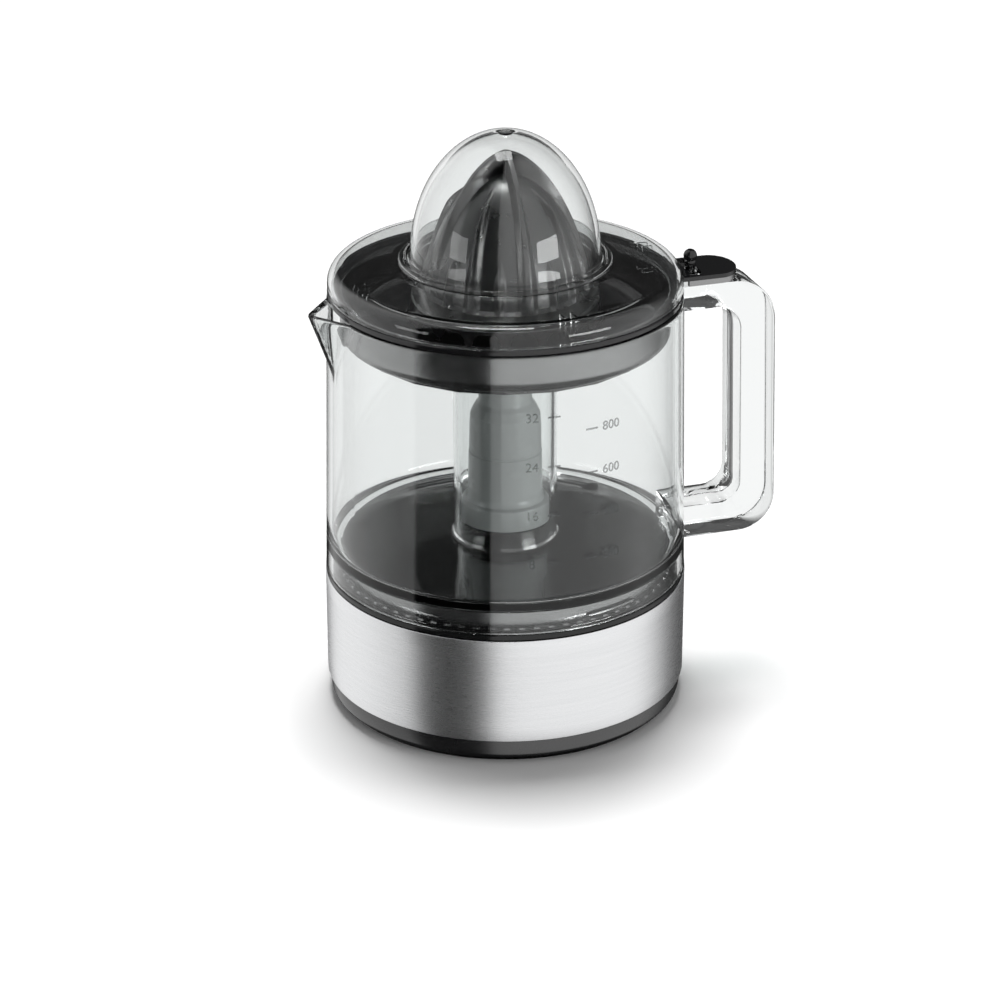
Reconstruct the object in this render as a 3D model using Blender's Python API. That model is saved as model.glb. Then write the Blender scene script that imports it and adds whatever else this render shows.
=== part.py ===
"""Citrus press juicer, modelled as the pieces it comes apart into.

Lengths are in millimetres and MM turns them into metres. The machine's axis is
vertical: the spout points along -X and the handle along +X. The origin lies on the
surface the juicer stands on, under the middle of its bounding box, so the axis
stands at AXIS_X.
"""
from math import cos, pi, radians, sin, sqrt

import bmesh
import bpy
from mathutils import Matrix, Vector

MM = 0.001
GAP = 0.3                  # running gap between neighbouring pieces

# Overall size
BAND_R = 72.3              # outer radius of the steel band
SPOUT_REACH = 80.5         # axis to spout tip
HANDLE_REACH = 112.3       # axis to the outer face of the handle
AXIS_X = (SPOUT_REACH - HANDLE_REACH) / 2

# Base
FOOT_R = 7.0
FOOT_TOP = 3.3
FOOT_CIRCLE_R = 57.0
COVER_R = 71.0
COVER_BOTTOM = 1.3
COVER_FLOOR = 3.6
COVER_TOP = 10.3
COVER_FILLET = 2.6
HOUSING_R = 71.2
HOUSING_WALL = 2.2
HOUSING_BOTTOM = 10.7
LEDGE_Z = 56.6             # ledge that the jug stands on
BAND_TOP = 54.1
BAND_WALL = 0.8
DECK_R = 65.8
DECK_Z = 65.7
PEDESTAL_R = 18.0
PEDESTAL_TOP = 75.3
TOWER_R = 14.4
TOWER_BORE_R = 12.4
TOWER_TOP = 140.8
SCREW_CIRCLE_R = 57.0
CORD_Z = 24.0              # height of the cord's inlet at the back
BOSS_R = 4.0

# Gear train
MODULE = 1.0               # tooth size: pitch diameter over tooth count
DRIVE_TEETH = 40
IDLER_SMALL_TEETH = 12
IDLER_LARGE_TEETH = 34
PINION_TEETH = 10
PLATE_Z = 34.0
PLATE_T = 3.0
SPINDLE_R = 4.0            # across the corners of the hexagon
SPINDLE_BOTTOM = 35.6
SPINDLE_TOP = 187.0
SPINDLE_COLLAR_Z = 70.0
MOTOR_R = 16.0
MOTOR_BOTTOM = 7.2
MOTOR_ANGLE = radians(140)

# Jug
JUG_BOTTOM_R = 72.0
JUG_TOP_R = 69.6
JUG_WALL = 2.4
JUG_RIM_Z = 170.1
JUG_FLOOR_Z = 66.1
JUG_FLOOR_T = 2.2
CHIMNEY_R = 20.6
CHIMNEY_WALL = 2.2
CHIMNEY_TOP = 150.6
SPOUT_HALF = 17.5
SPOUT_APEX_Z = 143.5
HANDLE_HALF = 10.3
HANDLE_TOP = 167.6
HANDLE_BOTTOM = 58.9
ARM_UPPER = 10.0           # height of the upper arm
ARM_LOWER = 13.7           # height of the lower arm

# Strainer and pulp selector
BOWL_R = 64.6
BOWL_WALL = 2.0
BOWL_BOTTOM = 153.0
FLANGE_R = 69.4
FLANGE_TOP = 172.6
FLANGE_T = 2.2
COLLAR_R = 12.4
COLLAR_TOP = 166.5
SLOTS = 12
SLOT_IN = 28.0
SLOT_OUT = 55.0
SLOT_W = 3.0
TAB_END = 95.4
TAB_HALF = 11.2
TAB_TOP = 171.9
TAB_BOTTOM = 168.0
SELECTOR_TRAVEL = radians(5)
NOTCH_HALF = 8.9           # half width of the gap in the jug's rim that the selector's arm uses
NOTCH_Z = 167.4
KNOB_R = 76.8              # axis to the selector knob
KNOB_STEM_R = 2.0
KNOB_BALL_R = 2.7
KNOB_TOP = 180.3

# Reamers
SKIRT_R = 36.8
SKIRT_BOTTOM = 160.5
SKIRT_TOP = 169.4
SKIRT_WINDOWS = 16
REAMER_R = 34.8
REAMER_BOTTOM = 172.0
REAMER_TIP = 227.6
REAMER_SQUARE = 1.75       # 2 is an ellipse, less is more pointed
RIB_TURN = radians(-92)    # direction of the blade nearest the front
BLADES = (0, 80, 160, 280)  # degrees on from there

# Lid
LID_R = 69.3
LID_WALL = 2.2
LID_BOTTOM = 172.9
LID_SHOULDER_Z = 182.0
DOME_R = 37.0
DOME_BASE = 186.0
DOME_TOP = 235.6
VENT_R = 2.6

ROUND = 32                 # segments of a full-width turned piece
MEDIUM = 20
SMALL = 10


# ---------------------------------------------------------------- helpers

def clear_scene():
    for obj in list(bpy.data.objects):
        bpy.data.objects.remove(obj, do_unlink=True)


def material(name, colour, roughness, metallic=0.0, transmission=0.0):
    mat = bpy.data.materials.new(name)
    mat.use_nodes = True
    shader = mat.node_tree.nodes["Principled BSDF"]
    shader.inputs["Base Color"].default_value = (*colour, 1.0)
    shader.inputs["Roughness"].default_value = roughness
    shader.inputs["Metallic"].default_value = metallic
    shader.inputs["Transmission Weight"].default_value = transmission
    mat.diffuse_color = (*colour, 1.0)
    return mat


def finish_mesh(bm, name, mat, parent, at=(0, 0, 0), smooth=35):
    """Turn a bmesh in millimetres into an object whose origin is `at`."""
    bmesh.ops.remove_doubles(bm, verts=bm.verts, dist=0.001)
    bmesh.ops.recalc_face_normals(bm, faces=bm.faces)
    bmesh.ops.translate(bm, verts=bm.verts, vec=-Vector(at))
    bmesh.ops.scale(bm, verts=bm.verts, vec=(MM, MM, MM))
    mesh = bpy.data.meshes.new(name)
    bm.to_mesh(mesh)
    bm.free()
    mesh.materials.append(mat)
    mesh.shade_smooth()
    mesh.set_sharp_from_angle(angle=radians(smooth))
    obj = bpy.data.objects.new(name, mesh)
    bpy.context.scene.collection.objects.link(obj)
    obj.parent = parent
    obj.location = Vector(at) * MM
    return obj


def ring(bm, radius, z, segments, centre, shape=None):
    """One ring of vertices, or a single vertex on the axis."""
    if radius < 1e-6:
        return [bm.verts.new((centre[0], centre[1], z))]
    verts = []
    for i in range(segments):
        angle = 2 * pi * i / segments
        r = radius if shape is None else shape(radius, z, angle)
        verts.append(bm.verts.new((centre[0] + r * cos(angle), centre[1] + r * sin(angle), z)))
    return verts


def bridge(bm, lower, upper):
    if len(lower) == 1 and len(upper) == 1:
        return
    count = max(len(lower), len(upper))
    for i in range(count):
        j = (i + 1) % count
        if len(lower) == 1:
            bm.faces.new((lower[0], upper[j], upper[i]))
        elif len(upper) == 1:
            bm.faces.new((lower[i], lower[j], upper[0]))
        else:
            bm.faces.new((lower[i], lower[j], upper[j], upper[i]))


def turned_bmesh(profile, segments, centre=(0, 0), shape=None):
    """Spin (radius, z) points round a vertical axis.

    A profile that starts and ends on the axis makes a solid; any other profile is
    closed on itself and makes a ring.
    """
    bm = bmesh.new()
    rings = [ring(bm, r, z, segments, centre, shape) for r, z in profile]
    for lower, upper in zip(rings, rings[1:]):
        bridge(bm, lower, upper)
    if len(rings[0]) > 1 or len(rings[-1]) > 1:
        bridge(bm, rings[-1], rings[0])
    return bm


def turned(name, profile, mat, parent, segments=ROUND, centre=(0, 0), shape=None):
    bm = turned_bmesh(profile, segments, centre, shape)
    return finish_mesh(bm, name, mat, parent, (centre[0], centre[1], 0))


def arc(centre, radius, start, end, steps):
    """Points on a circle from one angle to another, in degrees."""
    points = []
    for i in range(steps + 1):
        angle = radians(start + (end - start) * i / steps)
        points.append((centre[0] + radius * cos(angle), centre[1] + radius * sin(angle)))
    return points


def extruded_bmesh(outline, low, high, place=lambda u, v, w: (u, v, w)):
    """Extrude a closed outline from one height to another."""
    bm = bmesh.new()
    bottom = [bm.verts.new(place(u, v, low)) for u, v in outline]
    top = [bm.verts.new(place(u, v, high)) for u, v in outline]
    bridge(bm, bottom, top)
    bm.faces.new(bottom)
    bm.faces.new(top)
    return bm


def box_bmesh(low, high):
    outline = [(low[0], low[1]), (high[0], low[1]), (high[0], high[1]), (low[0], high[1])]
    return extruded_bmesh(outline, low[2], high[2])


def across_y(u, v, w):
    return (u, w, v)


def tool(name, bm, parent):
    """A hidden shape that a Boolean adds or takes away."""
    obj = finish_mesh(bm, name, TOOL_MATERIAL, parent)
    obj.hide_render = True
    obj.display_type = "WIRE"
    return obj


def boolean(obj, shape, operation):
    modifier = obj.modifiers.new(shape.name, "BOOLEAN")
    modifier.operation = operation
    modifier.solver = "EXACT"
    modifier.object = shape


def cut(obj, name, bm):
    boolean(obj, tool(f"{obj.name}.{name}", bm, obj.parent), "DIFFERENCE")


def join(obj, name, bm):
    boolean(obj, tool(f"{obj.name}.{name}", bm, obj.parent), "UNION")


def cylinder_bmesh(radius, low, high, centre=(0, 0), segments=SMALL):
    return turned_bmesh([(0, low), (radius, low), (radius, high), (0, high)], segments, centre)


def spun(bm, angle):
    """The same shape turned about the machine's axis."""
    bmesh.ops.rotate(bm, verts=bm.verts, cent=(0, 0, 0), matrix=Matrix.Rotation(angle, 3, "Z"))
    return bm


def merged(parts):
    """Several separate shapes in one bmesh."""
    whole = bmesh.new()
    for part in parts:
        mesh = bpy.data.meshes.new("part")
        part.to_mesh(mesh)
        part.free()
        whole.from_mesh(mesh)
        bpy.data.meshes.remove(mesh)
    return whole


def polar(radius, angle):
    return (radius * cos(angle), radius * sin(angle))


def gear_outline(teeth, phase):
    """Straight-sided teeth, thinned for backlash; phase puts a tooth at that angle."""
    pitch_r = MODULE * teeth / 2
    tip_r = pitch_r + 0.9 * MODULE
    root_r = pitch_r - 1.2 * MODULE
    step = 2 * pi / teeth
    points = []
    for i in range(teeth):
        middle = phase + i * step
        points.append(polar(root_r, middle - 0.36 * step))
        points.append(polar(tip_r, middle - 0.11 * step))
        points.append(polar(tip_r, middle + 0.11 * step))
        points.append(polar(root_r, middle + 0.36 * step))
    return points


def gear_bmesh(teeth, phase, low, high, centre=(0, 0)):
    def place(u, v, w):
        return (centre[0] + u, centre[1] + v, w)
    return extruded_bmesh(gear_outline(teeth, phase), low, high, place)


def screw(name, centre, head_low, head_high, tip, head_r, shank_r, parent):
    """Pan-head screw, its head below its shank."""
    profile = [(0, head_low), (head_r * 0.8, head_low), (head_r, head_low + 0.5),
               (head_r, head_high), (shank_r, head_high), (shank_r, tip)]
    return turned(name, profile + [(0, tip)], STEEL, parent, SMALL, centre)


# ---------------------------------------------------------------- base

def make_feet(axis):
    for i in range(4):
        centre = polar(FOOT_CIRCLE_R, radians(90 * i))
        profile = [(0, 0), (FOOT_R - 0.8, 0), (FOOT_R, 0.8), (FOOT_R, FOOT_TOP), (0, FOOT_TOP)]
        turned(f"rubber_foot_{i + 1}", profile, RUBBER, axis, 16, centre)


def cover_screw_centres():
    return [polar(SCREW_CIRCLE_R, radians(45 + 90 * i)) for i in range(4)]


def make_bottom_cover(axis):
    floor_top = COVER_FLOOR + 2.0
    inner_r = HOUSING_R - HOUSING_WALL - GAP
    curve = COVER_FILLET
    profile = [(0, COVER_FLOOR), (64.6, COVER_FLOOR), (65.6, COVER_BOTTOM), (COVER_R - curve, COVER_BOTTOM)]
    profile += arc((COVER_R - curve, COVER_BOTTOM + curve), curve, -60, 0, 3)
    profile += [(COVER_R, COVER_TOP), (inner_r, COVER_TOP), (inner_r, 16.0),
                (inner_r - 2.0, 16.0), (inner_r - 2.0, floor_top), (0, floor_top)]
    cover = turned("bottom_cover", profile, BLACK_SATIN, axis)
    holes = [cylinder_bmesh(1.9, 0, 10, c, SMALL) for c in cover_screw_centres()]
    cut(cover, "screw_holes", merged(holes))
    for i, centre in enumerate(cover_screw_centres()):
        screw(f"cover_screw_{i + 1}", centre, 1.9, COVER_FLOOR - GAP, 29.0, 3.2, 1.5, axis)


def make_steel_band(axis):
    low = COVER_TOP + GAP
    high = BAND_TOP
    inner_r = BAND_R - BAND_WALL
    profile = [(inner_r, low), (BAND_R - 0.2, low), (BAND_R, low + 0.4), (BAND_R, high - 0.4),
               (BAND_R - 0.2, high), (inner_r, high)]
    band = turned("steel_band", profile, BRUSHED, axis)
    cut(band, "cord_hole", cord_hole())


def cord_hole():
    """Round cutter through the back wall for the cord's gland."""
    return extruded_bmesh(arc((0, CORD_Z), 5.4, 0, 330, 11), 60, 80, across_y)


def plate_screw_centres():
    return [polar(50, radians(a)) for a in (25, 115, 245)]


def make_top_housing(axis):
    inner_r = HOUSING_R - HOUSING_WALL
    under = DECK_Z - 2.2
    profile = [(HOUSING_R, HOUSING_BOTTOM), (HOUSING_R, BAND_TOP + GAP), (BAND_R - 0.2, BAND_TOP + GAP),
               (BAND_R - 0.2, LEDGE_Z), (DECK_R, LEDGE_Z), (DECK_R, DECK_Z - 0.7),
               (DECK_R - 0.7, DECK_Z), (PEDESTAL_R + 1.2, DECK_Z), (PEDESTAL_R, DECK_Z + 1.2),
               (PEDESTAL_R, PEDESTAL_TOP), (15.3, PEDESTAL_TOP), (15.3, under), (DECK_R - 2.2, under),
               (DECK_R - 2.2, LEDGE_Z - 2.2), (inner_r, LEDGE_Z - 2.2), (inner_r, HOUSING_BOTTOM)]
    housing = turned("top_housing", profile, BLACK_GLOSS, axis)
    bosses = []
    for i, centre in enumerate(cover_screw_centres()):
        bosses.append(cylinder_bmesh(BOSS_R, 16.6, under + 0.6, centre, 8))
        rib = box_bmesh((SCREW_CIRCLE_R, -1.2, 18.0), (inner_r + 0.8, 1.2, LEDGE_Z - 1.6))
        join(housing, f"rib_{i + 1}", spun(rib, radians(45 + 90 * i)))
    for i, boss in enumerate(bosses):
        join(housing, f"boss_{i + 1}", boss)
    for i, centre in enumerate(plate_screw_centres()):
        boss = cylinder_bmesh(BOSS_R - 0.5, PLATE_Z + PLATE_T + GAP, under + 0.6, centre, 8)
        join(housing, f"plate_boss_{i + 1}", boss)
    bores = [cylinder_bmesh(1.8, 10, 32, c, 8) for c in cover_screw_centres()]
    bores += [cylinder_bmesh(1.8, 30, 52, c, 8) for c in plate_screw_centres()]
    cut(housing, "screw_bores", merged(bores))
    cut(housing, "cord_hole", cord_hole())


def make_tower(axis):
    step_z = PEDESTAL_TOP + GAP
    profile = [(TOWER_BORE_R, 66.0), (15.0, 66.0), (15.0, step_z), (17.6, step_z), (17.6, 84.4),
               (15.3, 85.4), (TOWER_R + 0.2, 105.0), (TOWER_R - 0.2, 117.0), (13.2, 121.6),
               (10.6, 126.2), (10.6, TOWER_TOP), (5.2, TOWER_TOP), (5.2, 132.0), (8.2, 132.0),
               (8.2, 126.0), (TOWER_BORE_R, 114.0)]
    turned("tower_sleeve", profile, GREY, axis, MEDIUM)
    bush = [(4.6, 98.0), (TOWER_BORE_R - GAP, 98.0), (TOWER_BORE_R - GAP, 102.0), (4.6, 102.0)]
    turned("upper_bush", bush, NYLON, axis, MEDIUM)
    seal = [(4.4, 127.0), (8.2 - GAP, 127.0), (8.2 - GAP, 130.0), (4.4, 130.0)]
    turned("shaft_seal", seal, RUBBER, axis, MEDIUM)


def make_cord_gland(axis):
    """Grommet in the back wall; the cord itself isn't part of this model."""
    bore = 3.2
    inside, outside = 65.0, BAND_R - 0.4
    profile = [(bore, outside), (bore, inside), (6.6, inside), (6.6, 67.8), (5.0, 68.1), (5.0, outside)]
    bm = turned_bmesh(profile, 16)
    turn = Matrix.Rotation(-pi / 2, 3, "X")
    bmesh.ops.rotate(bm, verts=bm.verts, cent=(0, 0, 0), matrix=turn)
    bmesh.ops.translate(bm, verts=bm.verts, vec=(0, 0, CORD_Z))
    finish_mesh(bm, "cord_gland", RUBBER, axis, (0, 68, CORD_Z))


# ---------------------------------------------------------------- drive

IDLER_AT = polar(MODULE * (DRIVE_TEETH + IDLER_SMALL_TEETH) / 2, pi)
MOTOR_STEP = polar(MODULE * (IDLER_LARGE_TEETH + PINION_TEETH) / 2, MOTOR_ANGLE)
MOTOR_AT = (IDLER_AT[0] + MOTOR_STEP[0], IDLER_AT[1] + MOTOR_STEP[1])

# The drive gear has a tooth pointing at +X and, with an even count, one at -X, towards
# the idler, so the idler's small gear has a gap there.
IDLER_PHASE = pi / IDLER_SMALL_TEETH


def make_gearbox_plate(axis):
    outline = arc((0, 0), 60.0, 75, 288, 10) + arc((0, 0), 24.0, -60, 10, 3) + [(54.0, 10.0), (54.0, 26.0)]
    bm = extruded_bmesh(outline, PLATE_Z, PLATE_Z + PLATE_T)
    plate = finish_mesh(bm, "gearbox_plate", ZINC, axis)
    holes = [cylinder_bmesh(5.2, 30, 40), cylinder_bmesh(6.6, 30, 40, MOTOR_AT)]
    holes += [cylinder_bmesh(1.9, 30, 40, c, SMALL) for c in plate_screw_centres()]
    holes += [cylinder_bmesh(1.9, 30, 40, c, SMALL) for c in motor_screw_centres()]
    holes += [cylinder_bmesh(BOSS_R + 0.8, 30, 40, c, SMALL) for c in cover_screw_centres()]
    cut(plate, "holes", merged(holes))
    for i, centre in enumerate(plate_screw_centres()):
        screw(f"plate_screw_{i + 1}", centre, PLATE_Z - 2.3, PLATE_Z - GAP, 49.0, 3.0, 1.5, axis)
    pin = [(0, PLATE_Z + PLATE_T + GAP), (2.0, PLATE_Z + PLATE_T + GAP), (2.0, 60.0), (0, 60.0)]
    turned("idler_pin", pin, STEEL, axis, SMALL, IDLER_AT)
    low = PLATE_Z + PLATE_T + GAP
    washer = [(5.2, low), (9.0, low), (9.0, low + 0.7), (5.2, low + 0.7)]
    turned("thrust_washer", washer, NYLON, axis, 16)


def motor_screw_centres():
    centres = []
    for side in (-1, 1):
        offset = polar(11.0, MOTOR_ANGLE + side * pi / 2)
        centres.append((MOTOR_AT[0] + offset[0], MOTOR_AT[1] + offset[1]))
    return centres


def make_motor(axis, rotor):
    top = PLATE_Z - GAP
    wall = MOTOR_R - 1.2
    can = [(0, MOTOR_BOTTOM), (MOTOR_R, MOTOR_BOTTOM), (MOTOR_R, top - 4.0), (wall, top - 4.0),
           (wall, MOTOR_BOTTOM + 1.2), (0, MOTOR_BOTTOM + 1.2)]
    turned("motor_can", can, ZINC, axis, MEDIUM, MOTOR_AT)
    cap = [(2.2, top - 4.0 + GAP), (MOTOR_R, top - 4.0 + GAP), (MOTOR_R, top), (2.2, top)]
    cap_piece = turned("motor_end_cap", cap, ZINC, axis, MEDIUM, MOTOR_AT)
    threads = [cylinder_bmesh(1.8, 20, 40, c, SMALL) for c in motor_screw_centres()]
    cut(cap_piece, "threads", merged(threads))
    stator = [(10.4, 11.0), (wall - GAP, 11.0), (wall - GAP, 28.0), (10.4, 28.0)]
    turned("stator_ring", stator, STEEL, axis, MEDIUM, MOTOR_AT)
    for i, centre in enumerate(motor_screw_centres()):
        profile = [(0, 30.2), (1.5, 30.2), (1.5, PLATE_Z + PLATE_T + GAP), (3.0, PLATE_Z + PLATE_T + GAP),
                   (3.0, 38.8), (2.4, 39.2), (0, 39.2)]
        turned(f"motor_screw_{i + 1}", profile, STEEL, axis, SMALL, centre)
    core = [(0, 9.0), (1.8, 9.0), (1.8, 12.0), (9.8, 12.0), (9.8, 27.0), (1.8, 27.0), (1.8, 56.5),
            (0, 56.5)]
    turned("rotor", core, STEEL, rotor, MEDIUM)
    phase = MOTOR_ANGLE + pi
    offset = pi * (IDLER_LARGE_TEETH * (MOTOR_ANGLE - IDLER_PHASE) / (2 * pi) % 1) * 2 / PINION_TEETH
    bm = gear_bmesh(PINION_TEETH, phase + pi / PINION_TEETH + offset, 48.0, 55.0)
    pinion = finish_mesh(bm, "motor_pinion", BRASS, rotor)
    cut(pinion, "bore", cylinder_bmesh(2.1, 40, 60, segments=SMALL))



def make_idler(idler):
    small = gear_bmesh(IDLER_SMALL_TEETH, IDLER_PHASE, 39.4, 49.2)
    gear = finish_mesh(small, "compound_gear", NYLON, idler)
    join(gear, "large_wheel", gear_bmesh(IDLER_LARGE_TEETH, IDLER_PHASE, 48.8, 54.2))
    cut(gear, "bore", cylinder_bmesh(2.3, 30, 60, segments=SMALL))


def make_drive_gear(drive):
    low = PLATE_Z + PLATE_T + GAP + 0.7 + GAP
    gear = finish_mesh(gear_bmesh(DRIVE_TEETH, 0, 40.5, 46.5), "drive_gear", NYLON, drive)
    hub = turned_bmesh([(0, low), (7.6, low), (7.6, 60.0), (0, 60.0)], 16)
    join(gear, "hub", hub)
    cut(gear, "bore", cylinder_bmesh(SPINDLE_R + 0.4, 30, 70, segments=6))
    turns = 4
    wire = 0.55
    radius = 6.0
    low = 60.0 + GAP + wire
    high = SPINDLE_COLLAR_Z - GAP - wire
    bm = bmesh.new()
    steps = 10
    rings = []
    for i in range(turns * steps + 1):
        angle = 2 * pi * i / steps
        rise = (high - low) * i / (turns * steps)
        centre = Vector((radius * cos(angle), radius * sin(angle), low + rise))
        out = Vector((cos(angle), sin(angle), 0))
        circle = []
        for k in range(5):
            turn = 2 * pi * k / 5
            circle.append(bm.verts.new(centre + out * wire * cos(turn) + Vector((0, 0, wire * sin(turn)))))
        rings.append(circle)
    for lower, upper in zip(rings, rings[1:]):
        bridge(bm, lower, upper)
    bm.faces.new(rings[0])
    bm.faces.new(rings[-1])
    finish_mesh(bm, "press_spring", STEEL, drive)


def make_spindle(spindle):
    collar = SPINDLE_COLLAR_Z
    profile = [(0, SPINDLE_BOTTOM), (SPINDLE_R, SPINDLE_BOTTOM), (SPINDLE_R, collar), (7.2, collar),
               (7.2, collar + 1.6), (SPINDLE_R, collar + 1.6), (SPINDLE_R, SPINDLE_TOP - 1),
               (SPINDLE_R - 1, SPINDLE_TOP), (0, SPINDLE_TOP)]
    turned("spindle", profile, STEEL, spindle, 6)


def make_switch(axis, plunger):
    body = finish_mesh(box_bmesh((-7, -4, 22), (7, 4, 31)), "switch_body", BLACK_SATIN, axis)
    cut(body, "plunger_hole", cylinder_bmesh(2.0, 26.5, 35, segments=SMALL))
    profile = [(0, 29.5), (1.6, 29.5), (1.6, 35.2), (0, 35.2)]
    turned("switch_plunger", profile, RED, plunger, SMALL)


# ---------------------------------------------------------------- jug

def jug_radius(z):
    """Outer radius of the jug, which tapers from its skirt to its rim."""
    low = LEDGE_Z + GAP
    return JUG_BOTTOM_R + (JUG_TOP_R - JUG_BOTTOM_R) * (z - low) / (JUG_RIM_Z - low)


def handle_outline():
    """Outline of the handle in the X-Z plane, its two ends inside the jug's wall."""
    top_in = 95.2
    low_in = 96.9
    reach_top = HANDLE_REACH - 2.2
    outer = [(68.4, HANDLE_TOP)]
    outer += arc((reach_top - 18, HANDLE_TOP - 18), 18, 90, 0, 6)
    outer += arc((HANDLE_REACH - 15, HANDLE_BOTTOM + 15), 15, 0, -90, 5)
    outer += [(70.6, HANDLE_BOTTOM)]
    low = HANDLE_BOTTOM + ARM_LOWER
    high = HANDLE_TOP - ARM_UPPER
    inner = [(70.6, low)]
    inner += arc((low_in - 9, low + 9), 9, -90, 0, 4)
    inner += arc((top_in - 11, high - 11), 11, 0, 90, 4)
    inner += [(68.4, high)]
    return outer + inner


def spout_outer():
    """Wedge that grows out of the jug's wall, from its apex up to the rim."""
    mid = 68.6
    half = SPOUT_HALF / mid
    back = [(-mid * cos(half * k / 3), mid * sin(half * k / 3), JUG_RIM_Z) for k in range(-3, 4)]
    points = back + [(-SPOUT_REACH, 1.6, JUG_RIM_Z), (-SPOUT_REACH, -1.6, JUG_RIM_Z),
                     (-69.4, 0.7, SPOUT_APEX_Z), (-69.4, -0.7, SPOUT_APEX_Z)]
    return hull_bmesh(points)


def spout_inner():
    """Space inside the spout, reaching through the wall into the jug."""
    top = JUG_RIM_Z + 2
    half = SPOUT_HALF - 2.6
    points = [(-SPOUT_REACH + 3.4, 0.5, top), (-SPOUT_REACH + 3.4, -0.5, top)]
    for side in (-1, 1):
        points += [(-67.0, side * half, top), (-62.0, side * (half - 1.5), top)]
        points += [(-70.2, side * 0.6, SPOUT_APEX_Z + 7.5), (-62.0, side * 0.6, SPOUT_APEX_Z + 6.5)]
    return hull_bmesh(points)


def hull_bmesh(points):
    bm = bmesh.new()
    for point in points:
        bm.verts.new(point)
    result = bmesh.ops.convex_hull(bm, input=bm.verts)
    spare = [g for g in result["geom_interior"] if isinstance(g, bmesh.types.BMVert)]
    bmesh.ops.delete(bm, geom=spare, context="VERTS")
    return bm


def make_jug(jug):
    low = LEDGE_Z + GAP
    floor = JUG_FLOOR_Z + JUG_FLOOR_T
    chimney_in = CHIMNEY_R - CHIMNEY_WALL
    inner_low = jug_radius(floor) - JUG_WALL
    inner_top = JUG_TOP_R - JUG_WALL
    profile = [(JUG_BOTTOM_R, low), (JUG_TOP_R, JUG_RIM_Z - 0.5), (JUG_TOP_R - 0.5, JUG_RIM_Z),
               (inner_top + 0.5, JUG_RIM_Z), (inner_top, JUG_RIM_Z - 0.5), (inner_low, floor + 1.5),
               (inner_low - 1.5, floor), (CHIMNEY_R + 1.5, floor), (CHIMNEY_R, floor + 1.5),
               (CHIMNEY_R, CHIMNEY_TOP), (chimney_in, CHIMNEY_TOP), (chimney_in, JUG_FLOOR_Z + 1.8),
               (chimney_in + 1.8, JUG_FLOOR_Z), (69.2, JUG_FLOOR_Z), (69.7, low)]
    body = turned("jug", profile, CLEAR, jug)
    join(body, "handle", extruded_bmesh(handle_outline(), -HANDLE_HALF, HANDLE_HALF, across_y))
    join(body, "spout", spout_outer())
    cut(body, "spout_channel", spout_inner())
    half = NOTCH_HALF
    cut(body, "selector_notch", box_bmesh((60, -half, NOTCH_Z), (68.0, half, 180)))
    cut(body, "selector_notch_outer", box_bmesh((67.5, -half, HANDLE_TOP + 0.05), (74, half, 180)))


# ---------------------------------------------------------------- strainer

def slot_cutters(low, high):
    slots = []
    for i in range(SLOTS):
        slot = box_bmesh((SLOT_IN, -SLOT_W / 2, low), (SLOT_OUT, SLOT_W / 2, high))
        slots.append(spun(slot, 2 * pi * (i + 0.5) / SLOTS))
    return merged(slots)


def tab_outline(inset):
    """Plan of the tab that lies over the handle, with a rounded outer end."""
    half = TAB_HALF - inset
    end = TAB_END - inset
    blend = 9.0
    points = [(66.0, -half), (end - blend, -half)]
    for i in range(1, 8):
        angle = -pi / 2 + pi * i / 8
        points.append((end - blend + blend * cos(angle), half * sin(angle)))
    points += [(end - blend, half), (66.0, half)]
    return points


def arc_slot(radius, half_angle, half_width, low, high):
    outer = [polar(radius + half_width, half_angle * k / 4) for k in range(-4, 5)]
    inner = [polar(radius - half_width, half_angle * k / 4) for k in range(4, -5, -1)]
    return extruded_bmesh(outer + inner, low, high)


def make_strainer(strainer):
    floor = BOWL_BOTTOM + 2.2
    inner = BOWL_R - BOWL_WALL
    profile = [(FLANGE_R, FLANGE_TOP), (FLANGE_R, FLANGE_TOP - FLANGE_T), (BOWL_R, FLANGE_TOP - FLANGE_T)]
    profile += arc((BOWL_R - 5, BOWL_BOTTOM + 5), 5, 0, -90, 3)
    profile += [(23.6, BOWL_BOTTOM), (23.6, 149.8), (21.5, 149.8), (21.5, BOWL_BOTTOM),
                (COLLAR_R - 2.2, BOWL_BOTTOM), (COLLAR_R - 2.2, COLLAR_TOP), (COLLAR_R, COLLAR_TOP),
                (COLLAR_R, floor + 0.6)]
    profile += arc((inner - 3.2, floor + 3.2), 3.2, -90, 0, 2)
    profile += [(inner, FLANGE_TOP)]
    basket = turned("strainer_basket", profile, BLACK_GLOSS, strainer)
    join(basket, "tab", extruded_bmesh(tab_outline(0), 170.2, TAB_TOP))
    outer = tab_outline(0)[1:-1]
    rim = [(72.4, -TAB_HALF)] + outer + [(72.4, TAB_HALF)]
    hollow = tab_outline(1.7)[1:-1]
    rim += [(72.4, TAB_HALF - 1.7)] + hollow[::-1] + [(72.4, -TAB_HALF + 1.7)]
    join(basket, "tab_rim", extruded_bmesh(rim, TAB_BOTTOM, 170.6))
    half_angle = SELECTOR_TRAVEL + (KNOB_STEM_R + 0.4) / KNOB_R
    cut(basket, "knob_slot", arc_slot(KNOB_R, half_angle, KNOB_STEM_R + 0.5, 165, 175))
    cut(basket, "juice_slots", slot_cutters(BOWL_BOTTOM - 1, floor + 1))


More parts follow.
